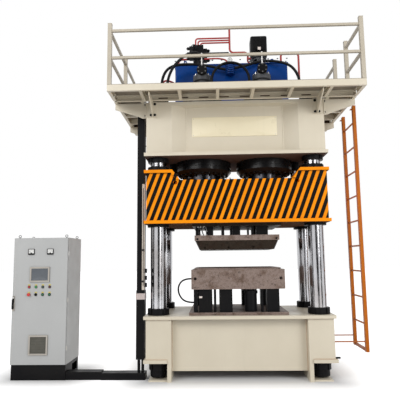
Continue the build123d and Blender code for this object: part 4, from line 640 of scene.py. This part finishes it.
# The grease fitting between the rams: a block with a nipple on top and a union at each side.
def buildSlideFitting(look):
    x, y, z = look["x"], look["y"], look["low"]
    half, level = look["size"][0] / 2, z + look["sideLevel"]
    patches = [plateLike((x, y, z), (*look["size"], look["height"]), look["corner"], look["edge"], "+Z"),
               latheLike(look["nipple"], (x, y, z + look["height"]), "+Z", 24),
               latheLike(look["union"], (x + half, y, level), "+X", 24),
               latheLike(look["union"], (x - half, y, level), "-X", 24)]
    makePiece("slideFitting", patches, zinc, "slide_body")


collarLook = {
    "x": 0.485, "inner": 0.349, "outer": 0.440, "low": 2.985, "high": 3.178, "rim": (0.040, 0.046),
    "groove": (0.005, 0.006, 0.003), "boltRing": 0.375, "bolts": 24,
    "head": [(0, 0), (0.017, 0), (0.017, 0.015), (0.014, 0.018), (0.009, 0.018), (0.009, 0.010), (0, 0.010)],
}


# The flange ring round each main cylinder under the crown, with a groove at half its height and socket heads
# under it. Its lower rim slopes as the slide's shoulders do, so the two stay clear when the slide is at its top.
def buildCollars(look):
    inner, outer, low, high = (look[key] for key in ("inner", "outer", "low", "high"))
    slopeOut, slopeUp = look["rim"]
    deep, lip, floor = look["groove"]
    middle = (low + high) / 2
    ring = [(inner, high), (outer, high), (outer, middle + lip), (outer - deep, middle + floor),
            (outer - deep, middle - floor), (outer, middle - lip), (outer, low + slopeUp), (outer - slopeOut, low),
            (inner, low), (inner, high)]
    makePiece("cylinderCollars", [latheLike(ring, (sx * look["x"], 0, 0), "+Z", 128) for sx in bothSides],
              blackEnamel)
    heads = headsUnderCylinders(look["head"], look["x"], look["boltRing"], low, look["bolts"])
    makePiece("collarBolts", heads, blackPaint)


backingLook = {"length": 3.460, "inner": 0.6885, "low": 4.006, "high": 4.084, "thickness": 0.003, "corner": 0.003,
               "edge": 0.001}


# Dark strips inside the long platform beams, behind their slots: painted shade, so the slots look as dark as the
# shaded inside of a hollow beam.
def buildBackings(look):
    level, height = (look["low"] + look["high"]) / 2, look["high"] - look["low"]
    patches = []
    for sy, axis in ((-1, "+Y"), (1, "-Y")):
        width, rise = (height, look["length"]) if axis == "+Y" else (look["length"], height)
        patches.append(plateLike((0, sy * look["inner"], level), (width, rise, look["thickness"]), look["corner"],
                                 look["edge"], axis, 3))
    makePiece("beamBackings", patches, slotShadePaint)


prefillLook = {
    "x": 0.485, "top": 4.640, "ring": 0.129, "angles": (-38, 0, 36, 72, 108, 144, 180, 218),
    "nut": [(0, 0), (0.015, 0), (0.015, 0.018), (0.011, 0.021), (0.0075, 0.021), (0.0075, 0.034), (0, 0.034)],
    "bleedY": -0.160,
    "bleed": [(0, 4.772), (0.020, 4.772), (0.020, 4.794), (0.012, 4.798), (0.012, 4.847), (0.017, 4.851),
              (0.017, 4.870), (0.009, 4.874), (0.009, 4.945), (0.015, 4.949), (0.015, 4.979), (0.010, 4.985),
              (0, 4.985)],
    "capFace": -0.2, "capLevel": 4.697, "capRing": 0.064, "capAngles": (30, 90, 150, 210, 270, 330),
    "capBolt": 0.016,
}


# Nuts on the prefill flanges, a bright bleed valve on top of each cap, and bolts on the caps' faces.
def buildPrefillParts(look):
    nuts, caps = [], []
    ring, capRing = look["ring"], look["capRing"]
    for sx in bothSides:
        x = sx * look["x"]
        for a in np.radians(look["angles"]):
            nuts.append(latheLike(look["nut"], (x + ring * math.cos(a), ring * math.sin(a), look["top"]), "+Z", 6, a))
        caps += boltRow([(x + capRing * math.cos(a), look["capFace"], look["capLevel"] + capRing * math.sin(a))
                         for a in np.radians(look["capAngles"])], look["capBolt"], "-Y")
    makePiece("prefillNuts", nuts, zinc)
    makePiece("bleedValves", [latheLike(look["bleed"], (sx * look["x"], look["bleedY"], 0), "+Z", 24)
                              for sx in bothSides], zinc)
    makePiece("capBolts", caps, darkZinc)


lidLook = {"x": 0.94, "y": (0.175, 0.645), "top": 5.010, "bolt": 0.022, "along": 13, "across": 5}


# Bolts round the tank lid's rim.
def buildLidBolts(look):
    near, far = look["y"]
    places = [(x, y, look["top"]) for x in np.linspace(-look["x"], look["x"], look["along"]) for y in (near, far)]
    places += [(sx * look["x"], y, look["top"]) for sx in bothSides
               for y in np.linspace(near, far, look["across"])[1:-1]]
    makePiece("lidBolts", boltRow(places, look["bolt"], "+Z"), darkZinc)


redLineLook = {
    "runs": [{"points": [(-0.465, 0.30, 5.094), (-0.22, 0.28, 5.092), (-0.09, 0.20, 5.03), (-0.035, 0.10, 4.90)],
              "radius": 0.014, "reference": (0, 0, 1)},
             {"points": [(-1.195, -0.21, 4.005), (-1.195, -0.21, 4.25), (-1.175, -0.17, 4.44), (-1.09, -0.06, 4.58),
                         (-1.00, 0.10, 4.62), (-0.945, 0.24, 4.63)], "radius": 0.015, "reference": (0, 1, 0)}],
    "valve": (0.315, 0.255, 5.010),
    "knob": [(0, 0.030), (0.012, 0.030), (0.024, 0.036), (0.030, 0.047), (0.026, 0.058), (0.014, 0.064), (0, 0.065)],
    "stem": [(0, 0), (0.018, 0), (0.018, 0.016), (0.009, 0.020), (0.009, 0.034), (0, 0.034)],
}


# Two bent red pipes and a small valve with a red knob.
def buildRedLines(look):
    makePiece("redLines", [tubeLike(smoothPath(run["points"]), run["radius"], run["reference"], 20)
                           for run in look["runs"]], redPaint)
    makePiece("redKnob", [latheLike(look["knob"], look["valve"], "+Z", 32)], redPlastic)
    makePiece("knobStem", [latheLike(look["stem"], look["valve"], "+Z", 24)], zinc)


gaugeLook = {
    "centre": (-0.020, 0.0555, 4.960), "radius": 0.034, "sheet": 0.0008, "marks": 11, "markRing": 0.028,
    "markTurns": (-45, 27), "mark": (0.003, 0.003, 0.0004), "needle": 0.022, "needleTurn": 2.2,
    "needleRadius": 0.0009, "needleOut": 0.0018, "hub": [(0, 0), (0.004, 0), (0.004, 0.0026), (0, 0.003)],
    "hubOut": 0.0004,
}


# The gauge's white dial, its scale marks on an arc and its needle.
def buildGaugeDial(look):
    x, y, z = look["centre"]
    radius, sheet, ring, out = look["radius"], look["sheet"], look["markRing"], y - look["needleOut"]
    disc = [(0, 0), (radius, 0), (radius, sheet), (0, sheet)]
    makePiece("gaugeDial", [latheLike(disc, look["centre"], "-Y", 40)], dialWhite)
    start, step = look["markTurns"]
    marks = [thinPlate((x + ring * math.cos(a), y - sheet, z + ring * math.sin(a)), look["mark"], 0.0006, 0.0001)
             for a in np.radians(start + step * np.arange(look["marks"]))]
    turn = look["needleTurn"]
    tip = (x + look["needle"] * math.cos(turn), out, z + look["needle"] * math.sin(turn))
    marks.append(tubeLike(straight((x, out, z), tip, 0.003), look["needleRadius"], (0, 1, 0), 8))
    marks.append(latheLike(look["hub"], (x, y - look["hubOut"], z), "-Y", 16))
    makePiece("gaugeMarks", marks, blackPlastic)


tagLook = {
    "motor": ((0.487, 0.2135, 5.223), (0.050, 0.050, 0.0012)),
    "riser": ((-0.534, -0.5555, 1.140), (0.042, 0.026, 0.0010)),
    "bores": (0.5725, -0.515, 1.967),
    "cup": [(0, 0.0002), (0.01092, 0.0002), (0.01092, 0.0022), (0.014, 0.0022), (0.0161, 0.0008), (0.0161, 0),
            (0, 0)],
}


# A bare tag on the motor's socket and on one riser, and at the punch plate's ends shallow black cups whose dark
# colour is painted shade for the inside of the bores.
def buildToolMarks(look):
    makePiece("motorTag", [thinPlate(*look["motor"])], tagWhite)
    makePiece("riserTag", [thinPlate(*look["riser"])], tagWhite)
    x, y, z = look["bores"]
    # The bores' black is painted shade: a shallow cup in place of a deep hole.
    makePiece("plateBores", [latheLike(look["cup"], (sx * x, y, z), "-Y", 28) for sx in bothSides], blackPaint,
              "slide_body")


toolHoseLook = {
    "runs": [[(-0.565, -0.507, 2.153), (-0.580, -0.511, 2.115), (-0.552, -0.513, 2.070), (-0.528, -0.508, 2.018)],
             [(-0.478, -0.507, 2.153), (-0.462, -0.511, 2.112), (-0.428, -0.513, 2.072), (-0.440, -0.508, 2.018)],
             [(-0.528, -0.507, 2.153), (-0.512, -0.512, 2.100), (-0.498, -0.513, 2.082), (-0.484, -0.508, 2.018)]],
    "radius": 0.0075, "levels": (2.152, 2.020),
    "fitting": [(0, 0), (0.0115, 0), (0.0115, 0.016), (0.0095, 0.018), (0, 0.018)],
}


# Short hoses from the clamp plate to the punch plate, with a hexagonal fitting at each end.
def buildToolHoses(look):
    makePiece("punchHoses", [tubeLike(smoothPath(run), look["radius"], (0, 1, 0)) for run in look["runs"]], rubber,
              "slide_body")
    high, low = look["levels"]
    patches = []
    for run in look["runs"]:
        patches.append(latheLike(look["fitting"], (*run[0][:2], high), "-Z", 6))
        patches.append(latheLike(look["fitting"], (*run[-1][:2], low), "+Z", 6))
    makePiece("punchHoseFittings", patches, zinc, "slide_body")


meterLook = {
    "face": -0.560, "x": (-3.000, -2.721), "leans": (0.5, -0.35), "dialLevel": 1.8185,
    "dial": (0.078, 0.057, 0.0006), "pivotLevel": 1.788, "marks": 11, "markTurns": (45, -9), "markDots": 5,
    "markFrom": 0.040, "markTo": 0.046, "longMarkTo": 0.0485, "dot": (0.0016, 0.0016, 0.0004), "dotOut": 0.0006,
    "needle": 0.044, "needleOut": 0.002, "needleRadius": 0.0007, "coverLevel": 1.793,
    "cover": [(0, 0), (0.009, 0), (0.009, 0.003), (0.006, 0.004), (0, 0.004)],
}


# A pale dial in each meter, with a fan of dotted scale marks, a needle and a dark pivot cover.
def buildMeters(look):
    dials, marks, needles = [], [], []
    y, pivot = look["face"], look["pivotLevel"]
    start, step = look["markTurns"]
    for x, lean in zip(look["x"], look["leans"]):
        dials.append(thinPlate((x, y, look["dialLevel"]), look["dial"]))
        for number in range(look["marks"]):
            turn = math.radians(start + step * number)
            end = look["markTo"] if number % 5 else look["longMarkTo"]
            for radius in np.linspace(look["markFrom"], end, look["markDots"]):
                place = (x + radius * math.sin(turn), y - look["dotOut"], pivot + radius * math.cos(turn))
                marks.append(thinPlate(place, look["dot"], 0.0003, 0.0001))
        out = y - look["needleOut"]
        tip = (x - look["needle"] * math.sin(lean), out, pivot + look["needle"] * math.cos(lean))
        needles.append(tubeLike(straight((x, out, pivot), tip, 0.004), look["needleRadius"], (0, 1, 0), 8))
        needles.append(latheLike(look["cover"], (x, y, look["coverLevel"]), "-Y", 24))
    makePiece("meterDials", dials, dialWhite, "door_body")
    makePiece("meterMarks", marks, blackPlastic, "door_body")
    makePiece("meterNeedles", needles, blackPlastic, "door_body")


displayLook = {"screen": ((-2.866, -0.559, 1.484), (0.242, 0.170, 0.0012)), "centre": (-2.866, 1.484),
               "outer": (0.290, 0.218), "inner": (0.244, 0.172), "face": -0.5610, "depth": 0.0016,
               "rounds": (0.0006, 0.0004)}


# Four bars round an opening: a rail over and under it, as wide as the frame, and two sides between the rails.
def frameBars(look, side, rail):
    x, z = look["centre"]
    wide, tall = look["outer"]
    face, depth = look["face"], look["depth"]
    railRound, sideRound = look["rounds"]
    patches = []
    for sign in bothSides:
        patches.append(thinPlate((x, face, z + sign * (tall - rail) / 2), (wide, rail, depth), 0.003, railRound))
        patches.append(thinPlate((x + sign * (wide - side) / 2, face, z), (side, tall - 2 * rail, depth), 0.001,
                                 sideRound))
    return patches


# The pale frame round the screen: each bar is half of what the opening leaves of the whole.
def buildBezel(look):
    side, rail = ((whole - opening) / 2 for whole, opening in zip(look["outer"], look["inner"]))
    makePiece("displayBezel", frameBars(look, side, rail), bezelGrey, "door_body")


lampLook = {
    "face": -0.549, "first": -3.017, "pitch": 0.1, "level": 1.306,
    "lenses": (("redLens", "red_plastic"), ("greenLens", "green_plastic"), ("darkLens", "green_plastic"),
               ("darkRedLens", "green_plastic")),
    "rim": 0.0176, "shoulder": (0.0126, 0.010), "round": (0.005, 0.0052), "crownLine": [(0.006, 0.0158), (0, 0.0162)],
    "labels": (1.336, 1.229), "label": (0.036, 0.017, 0.0012),
}


# Domed lenses over the lamps: a quarter ellipse turned about each lamp's axis. A bare plate is over each lamp and
# over each control under it.
def buildLamps(look):
    acrossAt, upAt = look["shoulder"]
    across, up = look["round"]
    dome = [(0, 0), (look["rim"], 0)] + [(acrossAt + across * math.cos(a), upAt + up * math.sin(a))
                                         for a in np.linspace(0, np.pi / 2, 7)] + look["crownLine"]
    plates = []
    for number, (colour, slot) in enumerate(look["lenses"]):
        x = look["first"] + look["pitch"] * number
        makePiece("lampLens" + str(number + 1), [latheLike(dome, (x, look["face"], look["level"]), "-Y", 40)],
                  lenses[colour], "door_body")
        plates += [thinPlate((x, look["face"], level), look["label"]) for level in look["labels"]]
    makePiece("labelPlates", plates, labelYellow, "door_body")


ventLook = {"centre": (-2.860, 0.490), "outer": (0.278, 0.278), "face": -0.5605, "width": 0.024, "depth": 0.0035,
            "rounds": (0.001, 0.0006), "screw": [(0, 0), (0.005, 0), (0.004, 0.0015), (0, 0.002)]}


# A pale frame round the vent, with a screw in each corner.
def buildVentFrame(look):
    x, z = look["centre"]
    wide, tall = look["outer"]
    width = look["width"]
    makePiece("ventFrame", frameBars(look, width, width), bezelGrey, "door_body")
    places = [(x + sx * (wide - width) / 2, look["face"] - look["depth"], z + sz * (tall - width) / 2)
              for sx in bothSides for sz in bothSides]
    makePiece("ventScrews", [latheLike(look["screw"], place, "-Y", 14) for place in places], zinc, "door_body")


lockLook = {
    "plate": ((-3.236, -0.549, 1.075), (0.034, 0.215, 0.0095)), "corner": 0.008, "edge": 0.003,
    "cylinder": (-3.236, -0.549, 1.158),
    "barrel": [(0, 0), (0.012, 0), (0.012, 0.024), (0.010, 0.026), (0.004, 0.026), (0.004, 0.023), (0, 0.023)],
}


# The handle's pale back plate and its bright lock cylinder.
def buildLock(look):
    makePiece("lockPlate", [plateLike(*look["plate"], look["corner"], look["edge"])], bezelGrey, "door_body")
    makePiece("lockCylinder", [latheLike(look["barrel"], look["cylinder"], "-Y", 28)], zinc, "door_body")


hoseLook = {
    "left_hose": {
        "route": [(-1140, -170, 4060), (-1140, -170, 4400), (-1120, -150, 4610), (-1035, -110, 4770),
                  (-880, -60, 4846), (-680, -15, 4868), (-470, 25, 4868), (-260, 60, 4832), (-96, 75, 4800)],
        "diameter": 0.044, "length": 1.709},
    "left_inner_hose": {
        "route": [(-1050, -230, 4060), (-1050, -230, 4360), (-1010, -240, 4600), (-900, -190, 4820),
                  (-690, -150, 5010), (-510, 50, 5092), (-510, 260, 5092)],
        "diameter": 0.044, "length": 1.536},
    "right_hose": {
        "route": [(1085, -155, 4060), (1085, -155, 4370), (1060, -120, 4600), (965, -45, 4790), (800, 45, 4900),
                  (600, 95, 4945), (400, 105, 4925), (200, 85, 4850), (56, 75, 4825)],
        "diameter": 0.044, "length": 1.745},
    "tool_hose": {
        "route": [(-665, -430, 1396), (-775, -430, 1396), (-862, -440, 1310), (-862, -450, 1180),
                  (-765, -465, 1060), (-634, -465, 1060)],
        "diameter": 0.024, "length": 0.617},
}


# One hose: a smooth line near its route's points, with a round section. The bevel is one metre deep and each point
# scales it down to the hose's own radius.
def buildHose(node, look):
    data = bpy.data.curves.new(node + "_tube", "CURVE")
    data.dimensions = "3D"
    data.bevel_depth = 1
    data.bevel_resolution = 6
    data.resolution_u = 16
    data.use_fill_caps = True
    spline = data.splines.new("NURBS")
    spline.points.add(len(look["route"]) - 1)
    for point, (x, y, z) in zip(spline.points, look["route"]):
        point.co = (x * mm, y * mm, z * mm, 1)
        point.radius = look["diameter"] / 2
    spline.order_u = 3
    spline.use_endpoint_u = True
    data.materials.append(rubber)
    hose = bpy.data.objects.new(node + "_tube", data)
    bpy.context.scene.collection.objects.link(hose)
    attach(hose, "root")
    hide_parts(node)


buildColumns(columnLook)
buildNameplate(plateLook)
buildCrownWelds(weldLook["crown"])
buildBedWelds(weldLook["bed"])
buildGlandBolts(glandLook)
buildSlideFitting(fittingLook)
buildCollars(collarLook)
buildBackings(backingLook)
buildPrefillParts(prefillLook)
buildLidBolts(lidLook)
buildRedLines(redLineLook)
buildGaugeDial(gaugeLook)
buildToolMarks(tagLook)
buildToolHoses(toolHoseLook)
print("press pieces are built")
buildMeters(meterLook)
makePiece("displayScreen", [thinPlate(*displayLook["screen"])], screenGlass, "door_body")
buildLamps(lampLook)
buildVentFrame(ventLook)
buildBezel(displayLook)
buildLock(lockLook)
print("cabinet pieces are built")
for nodeName, hoseShape in hoseLook.items():
    buildHose(nodeName, hoseShape)
print("hoses are built")

stageLook = {
    "floor": (0.80, 0.80, 0.80), "rough": 0.9, "size": (60, 60), "lift": 0.70, "reach": 0.55, "ambient": 0.52,
    "footprints": [(0, 0, 1.30, 0.65), (-2.862, -0.22, 0.38, 0.28)],
    "lamps": [
        ("keySoftbox", (-6.5, -9.0, 7.5), (0, 0, 2.6), (6, 4), 530),
        ("fillSoftbox", (7.5, -8.5, 4.5), (0, 0, 2.6), (5, 5), 500),
    ],
    "cardColour": (0.02, 0.02, 0.02),
    "cards": [((0.3, -9.6, 2.6), (4.4, 8.0)), ((6.4, -6.4, 2.6), (3.0, 8.0)), ((-7.6, -3.2, 2.6), (2.6, 8.0)),
              ((8.6, 1.5, 2.6), (3.2, 8.0))],
}


# A flat rectangle, width by height, as a mesh in its own plane.
def flatSheet(name, width, height, material):
    mesh = bpy.data.meshes.new(name)
    mesh.from_pydata([(-width / 2, -height / 2, 0), (width / 2, -height / 2, 0), (width / 2, height / 2, 0),
                      (-width / 2, height / 2, 0)], [], [(0, 1, 2, 3)])
    mesh.materials.append(material)
    sheet = bpy.data.objects.new(name, mesh)
    bpy.context.scene.collection.objects.link(sheet)
    return sheet


# How far a place lies outside a span along one axis: the larger of abs(place - middle) - half and 0.
def outside(tree, place, middle, half):
    off = maths(tree, "ABSOLUTE", maths(tree, "SUBTRACT", place, middle))
    return maths(tree, "MAXIMUM", maths(tree, "SUBTRACT", off, half), 0.0)


# A pale floor that is lifted to white for the camera, except near the footprints, where it keeps its shadow.
def buildFloor(look):
    material, tree, shader = newMaterial("stagePaint")
    shader.inputs["Base Color"].default_value = (*look["floor"], 1)
    shader.inputs["Roughness"].default_value = look["rough"]
    shader.inputs["Emission Color"].default_value = (1, 1, 1, 1)
    path = tree.nodes.new("ShaderNodeLightPath")
    seen = maths(tree, "MAXIMUM", path.outputs["Is Camera Ray"], path.outputs["Is Glossy Ray"])
    x, y = placePart(tree, 0), placePart(tree, 1)
    away = None
    for middleX, middleY, halfX, halfY in look["footprints"]:
        overX, overY = outside(tree, x, middleX, halfX), outside(tree, y, middleY, halfY)
        squares = maths(tree, "ADD", maths(tree, "MULTIPLY", overX, overX), maths(tree, "MULTIPLY", overY, overY))
        gap = maths(tree, "SQRT", squares)
        away = gap if away is None else maths(tree, "MINIMUM", away, gap)
    lift = spread(tree, away, 0.0, look["reach"], 0.0, look["lift"])
    tree.links.new(maths(tree, "MULTIPLY", seen, lift), shader.inputs["Emission Strength"])
    width, depth = look["size"]
    flatSheet("studioFloor", 2 * width, 2 * depth, material)


# A sky that lights the press softly and is plain white for the camera and in reflections.
def buildSky(look):
    world = bpy.data.worlds.new("studioWorld")
    world.use_nodes = True
    bpy.context.scene.world = world
    tree = world.node_tree
    background = tree.nodes["Background"]
    path = tree.nodes.new("ShaderNodeLightPath")
    seen = maths(tree, "MAXIMUM", path.outputs["Is Camera Ray"],
                 maths(tree, "MAXIMUM", path.outputs["Is Glossy Ray"], path.outputs["Is Transmission Ray"]))
    background.inputs["Color"].default_value = (1, 1, 1, 1)
    tree.links.new(spread(tree, seen, 0.0, 1.0, look["ambient"], 1.0), background.inputs["Strength"])


# Two large soft lamps.
def buildLamplight(look):
    for name, place, target, size, power in look["lamps"]:
        lamp = bpy.data.lights.new(name, "AREA")
        lamp.shape = "RECTANGLE"
        lamp.size, lamp.size_y = size
        lamp.energy = power
        holder = bpy.data.objects.new(name, lamp)
        holder.location = place
        holder.rotation_euler = (Vector(target) - Vector(place)).to_track_quat("-Z", "Y").to_euler()
        bpy.context.scene.collection.objects.link(holder)


# Dark cards that only reflections show, so the polished columns get their dark lines.
def buildCards(look):
    dull, tree, shader = newMaterial("cardBlack")
    shader.inputs["Base Color"].default_value = (*look["cardColour"], 1)
    shader.inputs["Roughness"].default_value = 1.0
    for number, (place, (width, height)) in enumerate(look["cards"]):
        card = flatSheet("card" + str(number), width, height, dull)
        card.location = place
        card.rotation_euler = (Vector((0, 0, place[2])) - Vector(place)).to_track_quat("Z", "Y").to_euler()
        card.visible_camera = card.visible_diffuse = card.visible_shadow = card.visible_transmission = False


cameraLook = {"eye": (-0.315, -7.084, 1.6816), "yaw": 0.0338, "pitch": 0.1287, "roll": -0.0120, "lens": 40.52,
              "sensor": 36, "shift": (0.0014, 0.0015)}


# Yaw to the left, pitch up and roll give the camera's three axes.
def placeCamera(look):
    yaw, pitch, roll = look["yaw"], look["pitch"], look["roll"]
    ahead = Vector((-math.sin(yaw) * math.cos(pitch), math.cos(yaw) * math.cos(pitch), math.sin(pitch)))
    level = Vector((math.cos(yaw), math.sin(yaw), 0))
    rise = level.cross(ahead)
    right = math.cos(roll) * level + math.sin(roll) * rise
    up = -math.sin(roll) * level + math.cos(roll) * rise
    lens = bpy.data.cameras.new("photoCamera")
    lens.lens = look["lens"]
    lens.sensor_width = look["sensor"]
    lens.shift_x, lens.shift_y = look["shift"]
    holder = bpy.data.objects.new("photoCamera", lens)
    bpy.context.scene.collection.objects.link(holder)
    turn = Matrix((right, up, -ahead)).transposed().to_4x4()
    holder.matrix_world = Matrix.Translation(look["eye"]) @ turn
    bpy.context.scene.camera = holder


bpy.context.scene.view_settings.view_transform = "Standard"
buildFloor(stageLook)
buildSky(stageLook)
buildLamplight(stageLook)
buildCards(stageLook)
placeCamera(cameraLook)
print("stage and camera are in place")
